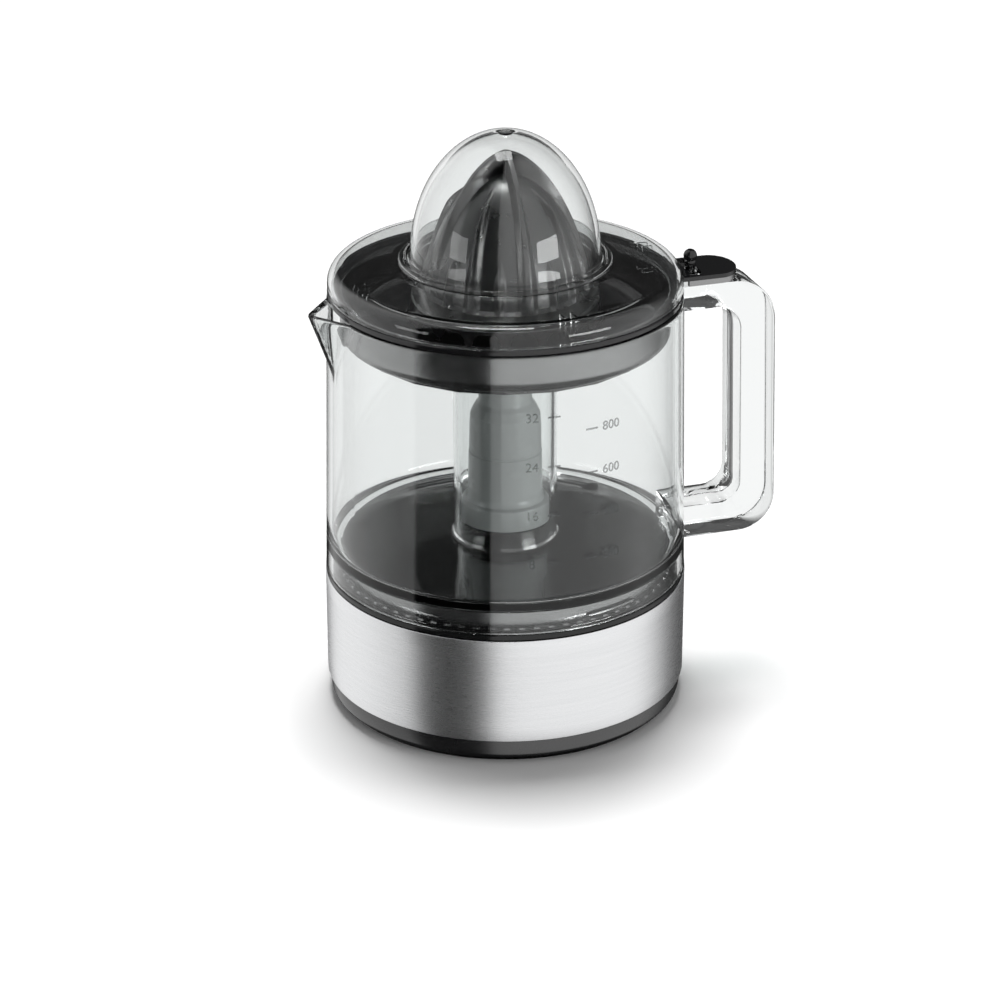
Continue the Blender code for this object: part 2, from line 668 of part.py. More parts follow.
def make_selector(selector):
    low = 150.9
    high = 152.5
    ring_profile = [(24.0, low), (58.0, low), (58.0, high), (24.0, high)]
    plate = turned("pulp_selector", ring_profile, BLACK_SATIN, selector, MEDIUM)
    side = [(56.5, low), (66.6, low), (66.6, 168.1), (KNOB_R + 2.6, 168.1), (KNOB_R + 2.6, 169.6),
            (65.2, 169.6), (65.2, high), (56.5, high)]
    join(plate, "arm", extruded_bmesh(side, -2.0, 2.0, across_y))
    cut(plate, "juice_slots", slot_cutters(low - 1, high + 1))
    stem = KNOB_STEM_R
    base = 169.6 + GAP
    ball = KNOB_TOP - KNOB_BALL_R
    profile = [(0, base), (stem, base), (stem - 0.3, ball - KNOB_BALL_R + 0.4)]
    profile += [(KNOB_BALL_R * cos(a), ball + KNOB_BALL_R * sin(a))
                for a in [radians(-45 + 27 * k) for k in range(5)]]
    profile += [(0, KNOB_TOP)]
    turned("selector_knob", profile, BLACK_GLOSS, selector, SMALL, (KNOB_R, 0))


# ---------------------------------------------------------------- reamers

def reamer_profile_r(z):
    """Radius of the pointed dome that the reamer's ribs follow."""
    height = (z - 160.0) / (REAMER_TIP - 160.0)
    return REAMER_R * max(0.0, 1 - height ** REAMER_SQUARE) ** (1 / REAMER_SQUARE)


def make_small_reamer(reamer):
    top = SKIRT_TOP
    tip = 206.0
    outer = [(22.0 * sqrt(1 - t * t), top + (tip - top) * t) for t in [k / 4 for k in range(4)]]

    def flutes(radius, z, angle):
        if z <= top + 0.1 or z >= tip or radius > 22.5:
            return radius
        return radius * (1 + 0.07 * cos(8 * angle))

    profile = [(0, 190.0), (5.4, 190.0), (5.4, 158.0), (9.0, 158.0), (9.0, top - 1.8),
               (SKIRT_R - 1.8, top - 1.8), (SKIRT_R - 1.8, SKIRT_BOTTOM), (SKIRT_R, SKIRT_BOTTOM),
               (SKIRT_R, top)] + outer + [(0, tip)]
    piece = turned("small_reamer", profile, BLACK_GLOSS, reamer, ROUND, shape=flutes)
    windows = []
    for i in range(SKIRT_WINDOWS):
        window = extruded_bmesh([(-6.3, 159.0), (6.3, 159.0), (2.6, 166.7), (-2.6, 166.7)],
                                SKIRT_R - 4, SKIRT_R + 3, lambda u, v, w: (w, u, v))
        windows.append(spun(window, 2 * pi * (i + 0.5) / SKIRT_WINDOWS))
    cut(piece, "windows", merged(windows))


def rib_height(angle, z):
    """Height of the ribs above the hollows, 0 to 1: four blades, and nine ribs lower down."""
    main = max(max(0.0, cos(angle - radians(blade))) for blade in BLADES) ** 40
    if z > 212:
        return main
    second = abs(cos(4.5 * angle)) ** 6
    fade = min(1.0, (212 - z) / 14)
    return max(main, second * fade)


def make_large_reamer(reamer):
    depth = 2.6

    def ribs(radius, z, angle):
        if z < REAMER_BOTTOM + 3 or z > REAMER_TIP - 1 or radius < reamer_profile_r(z) - 0.5:
            return radius
        grow = min(1.0, radius / 14.0)
        return radius - depth * grow * (1 - rib_height(angle, z))

    heights = [REAMER_BOTTOM + 3.2 + (REAMER_TIP - REAMER_BOTTOM - 3.2) * sin(pi / 2 * k / 8)
               for k in range(8)]
    outer = [(reamer_profile_r(z), z) for z in heights]
    wall = 4.4
    hollow_top = 214.0
    rise = hollow_top - REAMER_BOTTOM
    levels = [REAMER_BOTTOM + rise * sin(pi / 2 * k / 4) for k in range(3, -1, -1)]
    inner = [(0, hollow_top)] + [(reamer_profile_r(z + 5.0) - wall, z) for z in levels]
    profile = inner + [(REAMER_R - 0.6, REAMER_BOTTOM), (REAMER_R - 0.6, REAMER_BOTTOM + 2.4)]
    profile += outer + [(0, REAMER_TIP)]
    bm = spun(turned_bmesh(profile, 54, shape=ribs), RIB_TURN)
    finish_mesh(bm, "large_reamer", BLACK_GLOSS, reamer)


# ---------------------------------------------------------------- lid

def make_lid(lid):
    shoulder = 6.5
    profile = [(LID_R - LID_WALL, LID_BOTTOM), (LID_R, LID_BOTTOM)]
    profile += arc((LID_R - shoulder, LID_SHOULDER_Z - shoulder), shoulder, 0, 90, 3)
    profile += [(45.0, LID_SHOULDER_Z + 1.2), (40.6, LID_SHOULDER_Z + 1.8), (38.0, DOME_BASE - 1.0)]
    rise = DOME_TOP - DOME_BASE
    steps = 5
    end = sqrt(1 - (VENT_R / DOME_R) ** 2)
    angles = [k / steps for k in range(steps + 1)]
    dome = [(DOME_R * cos(pi / 2 * t), DOME_BASE + rise * sin(pi / 2 * t)) for t in angles[:-1]]
    dome += [(VENT_R, DOME_BASE + rise * end)]
    inner_r = DOME_R - LID_WALL
    inner_rise = rise - LID_WALL
    inner_end = sqrt(1 - (VENT_R / inner_r) ** 2)
    inner = [(VENT_R, DOME_BASE + inner_rise * inner_end)]
    inner += [(inner_r * cos(pi / 2 * t), DOME_BASE + inner_rise * sin(pi / 2 * t)) for t in angles[-2::-1]]
    inner += [(36.6, DOME_BASE - 3.6), (39.6, LID_SHOULDER_Z - 0.6)]
    inner += [(45.0, LID_SHOULDER_Z + 1.2 - LID_WALL)]
    inset = shoulder - LID_WALL
    inner += arc((LID_R - shoulder, LID_SHOULDER_Z - shoulder), inset, 90, 0, 2)
    turned("lid", profile + dome + inner, CLEAR_LID, lid)


# ---------------------------------------------------------------- assembly

def empty(name, parent, at=(0, 0, 0)):
    obj = bpy.data.objects.new(name, None)
    bpy.context.scene.collection.objects.link(obj)
    obj.parent = parent
    obj.location = Vector(at) * MM
    return obj


def build():
    axis = empty("machine_axis", None, (AXIS_X, 0, 0))
    make_feet(axis)
    make_bottom_cover(axis)
    make_steel_band(axis)
    make_top_housing(axis)
    make_tower(axis)
    make_cord_gland(axis)
    make_gearbox_plate(axis)
    make_motor(axis, empty("rotor_axis", axis, (*MOTOR_AT, 0)))
    make_idler(empty("idler_axis", axis, (*IDLER_AT, 0)))
    make_drive_gear(axis)
    make_spindle(axis)
    make_switch(axis, axis)
    make_jug(axis)
    make_strainer(axis)
    make_selector(axis)
    make_small_reamer(axis)
    make_large_reamer(axis)
    make_lid(axis)


clear_scene()
TOOL_MATERIAL = material("tool", (0.5, 0.5, 0.5), 0.5)
RUBBER = material("rubber", (0.03, 0.03, 0.03), 0.8)
BLACK_SATIN = material("black_satin", (0.02, 0.02, 0.02), 0.35)
BLACK_GLOSS = material("black_gloss", (0.012, 0.012, 0.013), 0.12)
BRUSHED = material("brushed_steel", (0.62, 0.62, 0.62), 0.3, 1.0)
STEEL = material("steel", (0.55, 0.55, 0.56), 0.35, 1.0)
ZINC = material("zinc_plate", (0.5, 0.5, 0.5), 0.45, 1.0)
BRASS = material("brass", (0.7, 0.55, 0.25), 0.3, 1.0)
GREY = material("grey_plastic", (0.55, 0.56, 0.56), 0.35)
NYLON = material("nylon", (0.8, 0.79, 0.74), 0.5)
RED = material("red_plastic", (0.5, 0.04, 0.03), 0.4)
CLEAR = material("clear_plastic", (0.9, 0.92, 0.92), 0.05, 0.0, 1.0)
CLEAR_LID = material("clear_lid_plastic", (0.9, 0.92, 0.92), 0.05, 0.0, 1.0)
build()
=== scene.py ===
from math import atan2, cos, hypot, pi, radians, sin, sqrt, tan

import bmesh
import bpy
from mathutils import Matrix, Vector


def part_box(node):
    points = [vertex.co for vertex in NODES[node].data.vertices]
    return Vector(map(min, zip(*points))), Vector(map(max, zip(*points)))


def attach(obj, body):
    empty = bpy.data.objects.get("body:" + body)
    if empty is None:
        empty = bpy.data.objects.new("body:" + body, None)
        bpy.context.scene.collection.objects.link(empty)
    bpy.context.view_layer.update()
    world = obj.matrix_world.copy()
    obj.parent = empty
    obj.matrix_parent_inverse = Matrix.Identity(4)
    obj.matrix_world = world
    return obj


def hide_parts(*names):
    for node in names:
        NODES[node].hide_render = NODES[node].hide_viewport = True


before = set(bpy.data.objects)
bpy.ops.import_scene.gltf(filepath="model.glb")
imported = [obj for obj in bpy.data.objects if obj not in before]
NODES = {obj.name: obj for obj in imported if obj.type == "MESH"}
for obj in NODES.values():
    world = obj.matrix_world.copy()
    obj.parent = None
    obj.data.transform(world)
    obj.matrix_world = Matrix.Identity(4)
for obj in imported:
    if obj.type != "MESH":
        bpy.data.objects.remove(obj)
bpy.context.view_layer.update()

# Lengths below are in millimetres, on the machine's axis; MM turns them into metres.
MM = 0.001
ROUND = 192


def box_mm(node):
    """A CAD node's lowest and highest corners in millimetres."""
    low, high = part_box(node)
    return low / MM, high / MM


BAND_LOW, BAND_HIGH = box_mm("steel_band")
AXIS_X = (BAND_LOW.x + BAND_HIGH.x) / 2
BAND_R = (BAND_HIGH.x - BAND_LOW.x) / 2
JUG_LOW, JUG_HIGH = box_mm("jug")
SPOUT_REACH = AXIS_X - JUG_LOW.x
HANDLE_REACH = JUG_HIGH.x - AXIS_X
LID_LOW, LID_HIGH = box_mm("lid")
LID_R = (LID_HIGH.x - LID_LOW.x) / 2
STRAINER_HIGH = box_mm("strainer_basket")[1]
COVER_LOW, COVER_HIGH = box_mm("bottom_cover")
COVER_R = (COVER_HIGH.x - COVER_LOW.x) / 2
TOWER_LOW, TOWER_HIGH = box_mm("tower_sleeve")
SMALL_LOW, SMALL_HIGH = box_mm("small_reamer")
SKIRT_R = (SMALL_HIGH.x - SMALL_LOW.x) / 2
LARGE_LOW, LARGE_HIGH = box_mm("large_reamer")
KNOB_LOW, KNOB_HIGH = box_mm("selector_knob")

LEDGE_Z = JUG_LOW.z - 0.3
DECK_R = 65.8
DECK_Z = 65.7
PEDESTAL_TOP = box_mm("top_housing")[1].z
RIM_Z = JUG_HIGH.z
JUG_BOTTOM_R = 72.0
JUG_TOP_R = 69.6
JUG_WALL = 2.4
HANDLE_HALF = 10.3
HANDLE_TOP = 167.6
HANDLE_BOTTOM = 58.9
CHIMNEY_R = 20.6
SPOUT_LOW_Z = 143.5           # where the spout starts to fold out of the jug's wall
COVER_SCREW_CIRCLE = 57.0
PLATE_SCREW_CIRCLE = 50.0
CORD_Z = 24.0
CORD_HOLE_R = 5.4
FRONT = radians(-108)         # angle round the axis of the side with the scales


# ---------------------------------------------------------------- materials

def new_material(name, colour, roughness, metallic=0.0, **more):
    """A Principled material and its shader; `more` sets further sockets."""
    mat = bpy.data.materials.new(name)
    mat.use_nodes = True
    shader = mat.node_tree.nodes["Principled BSDF"]
    shader.inputs["Base Color"].default_value = (*colour, 1.0)
    shader.inputs["Roughness"].default_value = roughness
    shader.inputs["Metallic"].default_value = metallic
    for key, value in more.items():
        shader.inputs[key.replace("_", " ")].default_value = value
    mat.diffuse_color = (*colour, 1.0)
    return mat


def add_node(mat, kind, inputs=(), **settings):
    node = mat.node_tree.nodes.new(kind)
    for key, value in settings.items():
        setattr(node, key, value)
    for key, value in dict(inputs).items():
        if isinstance(value, bpy.types.NodeSocket):
            mat.node_tree.links.new(value, node.inputs[key])
        else:
            node.inputs[key].default_value = value
    return node


def shader_of(mat):
    return mat.node_tree.nodes["Principled BSDF"]


def coordinates(mat, scale):
    """Object coordinates, stretched by a scale for each axis."""
    source = add_node(mat, "ShaderNodeTexCoord")
    return add_node(mat, "ShaderNodeMapping", {"Vector": source.outputs["Object"], "Scale": scale}).outputs[0]


def noise(mat, vector, scale, detail=4.0, rough=0.55):
    node = add_node(mat, "ShaderNodeTexNoise", {"Vector": vector, "Scale": scale, "Detail": detail,
                                               "Roughness": rough})
    return node.outputs["Fac"]


def ramp(mat, factor, low, high, out_low, out_high):
    node = add_node(mat, "ShaderNodeMapRange", {"Value": factor, "From Min": low, "From Max": high,
                                                "To Min": out_low, "To Max": out_high})
    return node.outputs["Result"]


def colour_mix(mat, factor, first, second):
    node = add_node(mat, "ShaderNodeMix", data_type="RGBA")
    mat.node_tree.links.new(factor, node.inputs["Factor"])
    node.inputs[6].default_value = (*first, 1.0)
    node.inputs[7].default_value = (*second, 1.0)
    return node.outputs[2]


def bump(mat, height, strength, distance):
    node = add_node(mat, "ShaderNodeBump", {"Height": height, "Strength": strength, "Distance": distance})
    mat.node_tree.links.new(node.outputs["Normal"], shader_of(mat).inputs["Normal"])


def drive(mat, socket, output):
    mat.node_tree.links.new(output, shader_of(mat).inputs[socket])


def moulded_plastic(name, colour, tint, roughness, spread, grain, depth):
    """Moulded plastic: slight colour drift, uneven polish and a fine skin texture."""
    mat = new_material(name, colour, roughness)
    vector = coordinates(mat, (1, 1, 1))
    drift = noise(mat, vector, 35.0, 3.0)
    drive(mat, "Base Color", colour_mix(mat, drift, colour, tint))
    wear = noise(mat, vector, 90.0, 5.0)
    drive(mat, "Roughness", ramp(mat, wear, 0.3, 0.7, roughness - spread, roughness + spread))
    bump(mat, noise(mat, vector, grain, 3.0), 0.25, depth)
    return mat


def brushed_metal(name, colour, roughness, across, along, strength):
    """Brushed metal: streaks drawn out along one direction of the object."""
    mat = new_material(name, colour, roughness, 1.0)
    vector = coordinates(mat, along)
    streaks = noise(mat, vector, across, 6.0, 0.7)
    drive(mat, "Roughness", ramp(mat, streaks, 0.3, 0.7, roughness - 0.08, roughness + 0.1))
    darker = tuple(c * 0.86 for c in colour)
    drive(mat, "Base Color", colour_mix(mat, streaks, darker, colour))
    bump(mat, streaks, strength, 0.00005)
    return mat


def band_metal():
    """Steel brushed round the band; the streaks follow the UV map's first axis."""
    colour = (0.94, 0.945, 0.955)
    mat = new_material("band_steel", colour, 0.26, 1.0, Anisotropic=0.5)
    uv = add_node(mat, "ShaderNodeTexCoord").outputs["UV"]
    fine = add_node(mat, "ShaderNodeMapping", {"Vector": uv, "Scale": (1.2, 60.0, 1.0)}).outputs[0]
    coarse = add_node(mat, "ShaderNodeMapping", {"Vector": uv, "Scale": (0.3, 9.0, 1.0)}).outputs[0]
    streaks = noise(mat, fine, 14.0, 8.0, 0.75)
    bands = noise(mat, coarse, 8.0, 3.0, 0.5)
    drive(mat, "Roughness", ramp(mat, streaks, 0.25, 0.75, 0.2, 0.36))
    both = add_node(mat, "ShaderNodeMath", {0: streaks, 1: bands}, operation="MULTIPLY").outputs[0]
    drive(mat, "Base Color", colour_mix(mat, ramp(mat, both, 0.1, 0.4, 0.0, 1.0), (0.87, 0.88, 0.89), colour))
    bump(mat, streaks, 0.3, 0.00002)
    return mat


def clear_plastic(name, tint, roughness):
    """Clear moulded plastic that bends light and lets lamps through to what is inside."""
    mat = new_material(name, tint, roughness, IOR=1.46, Transmission_Weight=1.0)
    vector = coordinates(mat, (1, 1, 1))
    haze = noise(mat, vector, 60.0, 3.0)
    drive(mat, "Roughness", ramp(mat, haze, 0.35, 0.75, roughness, roughness + 0.012))
    through = add_node(mat, "ShaderNodeBsdfTransparent", {"Color": (*[c * 0.96 for c in tint], 1.0)})
    path = add_node(mat, "ShaderNodeLightPath")
    mix = add_node(mat, "ShaderNodeMixShader", {"Fac": path.outputs["Is Shadow Ray"],
                                                1: shader_of(mat).outputs[0], 2: through.outputs[0]})
    output = mat.node_tree.nodes["Material Output"]
    mat.node_tree.links.new(mix.outputs[0], output.inputs["Surface"])
    return mat


CLEAR = clear_plastic("clear_jug", (0.925, 0.94, 0.937), 0.0)
CLEAR_LID = clear_plastic("clear_lid", (0.93, 0.943, 0.94), 0.0)
GLOSS = moulded_plastic("black_gloss", (0.004, 0.004, 0.0045), (0.006, 0.006, 0.0065),
                        0.12, 0.03, 700, 0.000003)
DECK = moulded_plastic("deck_black", (0.004, 0.0043, 0.0043), (0.006, 0.0064, 0.0064),
                       0.1, 0.03, 900, 0.000003)
SATIN = moulded_plastic("black_satin", (0.006, 0.006, 0.0065), (0.009, 0.009, 0.0095),
                        0.24, 0.05, 1600, 0.00001)
GREY = moulded_plastic("tower_grey", (0.86, 0.87, 0.87), (0.82, 0.83, 0.83), 0.25, 0.05, 1200, 0.00001)
NYLON = moulded_plastic("nylon", (0.74, 0.72, 0.64), (0.66, 0.64, 0.56), 0.45, 0.08, 900, 0.00003)
RED = moulded_plastic("switch_red", (0.42, 0.03, 0.02), (0.35, 0.02, 0.015), 0.4, 0.06, 900, 0.00003)
REAMER = moulded_plastic("reamer_black", (0.006, 0.0065, 0.0065), (0.009, 0.0095, 0.0095),
                         0.3, 0.04, 1100, 0.00001)
RUBBER = moulded_plastic("rubber", (0.018, 0.018, 0.018), (0.03, 0.03, 0.03), 0.72, 0.08, 2200, 0.00005)
MARKS = moulded_plastic("graduation", (0.1, 0.11, 0.11), (0.14, 0.15, 0.15), 0.3, 0.05, 900, 0.00001)
shader_of(MARKS).inputs["Alpha"].default_value = 0.4
POLISHED = moulded_plastic("polished_bowl", (0.006, 0.006, 0.0065), (0.008, 0.008, 0.0085),
                           0.22, 0.04, 700, 0.000003)
for mat, ior in ((POLISHED, 3.8), (GLOSS, 1.6), (SATIN, 1.95), (REAMER, 1.75)):
    shader_of(mat).inputs["IOR"].default_value = ior
STEEL = brushed_metal("turned_steel", (0.56, 0.56, 0.57), 0.3, 60.0, (1, 1, 30), 0.3)
ZINC = brushed_metal("zinc_plate", (0.5, 0.51, 0.52), 0.42, 40.0, (1, 12, 1), 0.3)
BRASS = brushed_metal("brass", (0.68, 0.5, 0.22), 0.28, 60.0, (1, 1, 30), 0.3)
BAND = band_metal()


# ---------------------------------------------------------------- mesh helpers

def arc(centre, radius, start, end, steps):
    """Points on a circle from one angle to another, in degrees."""
    points = []
    for i in range(steps + 1):
        angle = radians(start + (end - start) * i / steps)
        points.append((centre[0] + radius * cos(angle), centre[1] + radius * sin(angle)))
    return points


def polar(radius, angle):
    return (radius * cos(angle), radius * sin(angle))


def rounded(points, radius, steps=4, closed=True):
    """A polyline with its corners rounded; a corner may carry its own radius as a third value."""
    out = []
    count = len(points)
    for i, point in enumerate(points):
        r = point[2] if len(point) > 2 else radius
        here = Vector(point[:2])
        if not closed and i in (0, count - 1) or r <= 0:
            out.append(tuple(here))
            continue
        before = Vector(points[i - 1][:2]) - here
        after = Vector(points[(i + 1) % count][:2]) - here
        if before.length < 1e-6 or after.length < 1e-6:
            out.append(tuple(here))
            continue
        angle = before.angle(after)
        if angle > pi - 0.05:
            out.append(tuple(here))
            continue
        reach = min(r / tan(angle / 2), before.length * 0.48, after.length * 0.48)
        first = here + before.normalized() * reach
        last = here + after.normalized() * reach
        for k in range(steps + 1):
            t = k / steps
            out.append(tuple(first * (1 - t) ** 2 + here * 2 * t * (1 - t) + last * t ** 2))
    return out


def bridge(bm, lower, upper):
    count = max(len(lower), len(upper))
    for i in range(count):
        j = (i + 1) % count
        if len(lower) == 1:
            bm.faces.new((lower[0], upper[j], upper[i]))
        elif len(upper) == 1:
            bm.faces.new((lower[i], lower[j], upper[0]))
        else:
            bm.faces.new((lower[i], lower[j], upper[j], upper[i]))


def turned_bmesh(profile, segments=ROUND, centre=(0, 0), shape=None, angles=None):
    """Spin (radius, z) points round a vertical axis; `shape` may bend a ring's radius."""
    bm = bmesh.new()
    if angles is None:
        angles = [2 * pi * i / segments for i in range(segments)]
    rings = []
    for index, (radius, z) in enumerate(profile):
        if radius < 1e-6:
            rings.append([bm.verts.new((centre[0], centre[1], z))])
            continue
        verts = []
        for angle in angles:
            r, h = (radius, z) if shape is None else shape(index, radius, z, angle)
            verts.append(bm.verts.new((centre[0] + r * cos(angle), centre[1] + r * sin(angle), h)))
        rings.append(verts)
    for lower, upper in zip(rings, rings[1:]):
        bridge(bm, lower, upper)
    if len(rings[0]) > 1 or len(rings[-1]) > 1:
        bridge(bm, rings[-1], rings[0])
    return bm


def extruded_bmesh(outline, low, high, place=lambda u, v, w: (u, v, w)):
    bm = bmesh.new()
    bottom = [bm.verts.new(place(u, v, low)) for u, v in outline]
    top = [bm.verts.new(place(u, v, high)) for u, v in outline]
    bridge(bm, bottom, top)
    bm.faces.new(bottom)
    bm.faces.new(top)
    return bm


def across_y(u, v, w):
    return (u, w, v)


def box_bmesh(low, high):
    outline = [(low[0], low[1]), (high[0], low[1]), (high[0], high[1]), (low[0], high[1])]
    return extruded_bmesh(outline, low[2], high[2])


def spun(bm, angle):
    bmesh.ops.rotate(bm, verts=bm.verts, cent=(0, 0, 0), matrix=Matrix.Rotation(angle, 3, "Z"))
    return bm


def merged(parts):
    whole = bmesh.new()
    for part in parts:
        mesh = bpy.data.meshes.new("part")
        part.to_mesh(mesh)
        part.free()
        whole.from_mesh(mesh)
        bpy.data.meshes.remove(mesh)
    return whole


def make_object(name, bm, mat, smooth=40, bevel=0.0):
    """An object from a bmesh in millimetres about the machine's axis."""
    bmesh.ops.remove_doubles(bm, verts=bm.verts, dist=0.0005)
    bmesh.ops.recalc_face_normals(bm, faces=bm.faces)
    if bevel:
        sharp = [e for e in bm.edges if len(e.link_faces) == 2 and e.calc_face_angle() > radians(50)]
        bmesh.ops.bevel(bm, geom=sharp, offset=bevel, segments=2, affect="EDGES", clamp_overlap=True)
    bmesh.ops.translate(bm, verts=bm.verts, vec=(AXIS_X, 0, 0))
    bmesh.ops.scale(bm, verts=bm.verts, vec=(MM, MM, MM))
    mesh = bpy.data.meshes.new(name)
    bm.to_mesh(mesh)
    bm.free()
    mesh.materials.append(mat)
    mesh.shade_smooth()
    mesh.set_sharp_from_angle(angle=radians(smooth))
    obj = bpy.data.objects.new(name, mesh)
    bpy.context.scene.collection.objects.link(obj)
    return obj


def piece(name, bm, mat, body, node=None, smooth=40, bevel=0.0):
    """A visible piece that rides on a body and may stand for a CAD node."""
    obj = make_object(name, bm, mat, smooth, bevel)
    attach(obj, body)
    if node:
        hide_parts(node)
    return obj


def combine(obj, bm, operation, smooth=40):
    """Adds a shape to an object or takes it away, and keeps the result as its mesh."""
    other = make_object("shape", bm, obj.data.materials[0])
    modifier = obj.modifiers.new("shape", "BOOLEAN")
    modifier.operation = operation
    modifier.solver = "EXACT"
    modifier.object = other
    graph = bpy.context.evaluated_depsgraph_get()
    graph.update()
    mesh = bpy.data.meshes.new_from_object(obj.evaluated_get(graph))
    obj.modifiers.remove(modifier)
    old = obj.data
    obj.data = mesh
    bpy.data.meshes.remove(old)
    bpy.data.objects.remove(other)
    mesh.shade_smooth()
    mesh.set_sharp_from_angle(angle=radians(smooth))


def polish_outside(obj, low, high):
    """Gives an upright outer wall between two heights a higher polish."""
    obj.data.materials.append(POLISHED)
    for polygon in obj.data.polygons:
        centre = polygon.center / MM - Vector((AXIS_X, 0, 0))
        outward = centre.x * polygon.normal.x + centre.y * polygon.normal.y > 0
        if hypot(centre.x, centre.y) > 57.0 and low < centre.z < high and outward:
            polygon.material_index = 1


def ring_uv(obj):
    """UV map for a turned piece: once round in U and metres of height in V, both in one scale."""
    mesh = obj.data
    layer = mesh.uv_layers.new(name="round")
    for polygon in mesh.polygons:
        centre = polygon.center
        middle = atan2(centre.y, centre.x - AXIS_X * MM)
        for index in polygon.loop_indices:
            co = mesh.vertices[mesh.loops[index].vertex_index].co
            angle = atan2(co.y, co.x - AXIS_X * MM)
            if angle - middle > pi:
                angle -= 2 * pi
            elif middle - angle > pi:
                angle += 2 * pi
            layer.data[index].uv = (angle * BAND_R * MM * 10, co.z * 10)


# ---------------------------------------------------------------- base

def cord_hole():
    """The round hole at the back that the cord's gland fills."""
    return extruded_bmesh(arc((0, CORD_Z), CORD_HOLE_R, 0, 352.5, 47), 60, 80, across_y)


def make_band():
    """The brushed steel band, with its edges rolled in a little."""
    low, high = BAND_LOW.z, BAND_HIGH.z
    inner = BAND_R - 0.8
    profile = [(inner, low), (BAND_R - 0.35, low)] + arc((BAND_R - 0.35, low + 0.35), 0.35, -60, 0, 3)
    profile += arc((BAND_R - 0.35, high - 0.35), 0.35, 0, 90, 3) + [(inner, high)]
    middle = [(BAND_R, low + (high - low) * k / 6) for k in range(1, 6)]
    profile = profile[:6] + middle + profile[6:]
    band = piece("steel_band_sleeve", turned_bmesh(profile, 256), BAND, "base", "steel_band")
    combine(band, cord_hole(), "DIFFERENCE")
    ring_uv(band)


def make_cover():
    """Bottom cover with its rounded skirt, recessed floor, ribs and air slots."""
    floor = 3.6
    skirt = 2.6
    inner = 68.7
    top = BAND_LOW.z - 0.3
    profile = [(0, floor), (20, floor), (20.6, floor - 0.5), (24.4, floor - 0.5), (25, floor), (64.4, floor)]
    low = COVER_LOW.z - 0.7
    profile += [(65.4, low + 0.2), (66.0, low), (COVER_R - skirt - 0.6, low)]
    profile += arc((COVER_R - skirt, low + skirt + 1.5), skirt, -60, 0, 8)
    profile += [(COVER_R, top - 0.7), (COVER_R - 0.3, top), (inner, top), (inner, 16.0), (inner - 2, 16.0),
                (inner - 2, floor + 2), (0, floor + 2)]
    cover = piece("bottom_cover_shell", turned_bmesh(profile), SATIN, "base", "bottom_cover")
    cuts = []
    for i in range(4):
        centre = polar(COVER_SCREW_CIRCLE, radians(45 + 90 * i))
        cuts.append(turned_bmesh([(0, 0), (1.9, 0), (1.9, 10), (0, 10)], 24, centre))
    for side in (-1, 1):
        for row in range(9):
            slot = rounded([(-13, -1.1), (13, -1.1), (13, 1.1), (-13, 1.1)], 1.0)
            y = (row - 4) * 4.2
            shape = extruded_bmesh(slot, 2, 8, lambda u, v, w, y=y, x=40 * side: (u + x, v + y, w))
            cuts.append(spun(shape, radians(45)))
    combine(cover, merged(cuts), "DIFFERENCE")


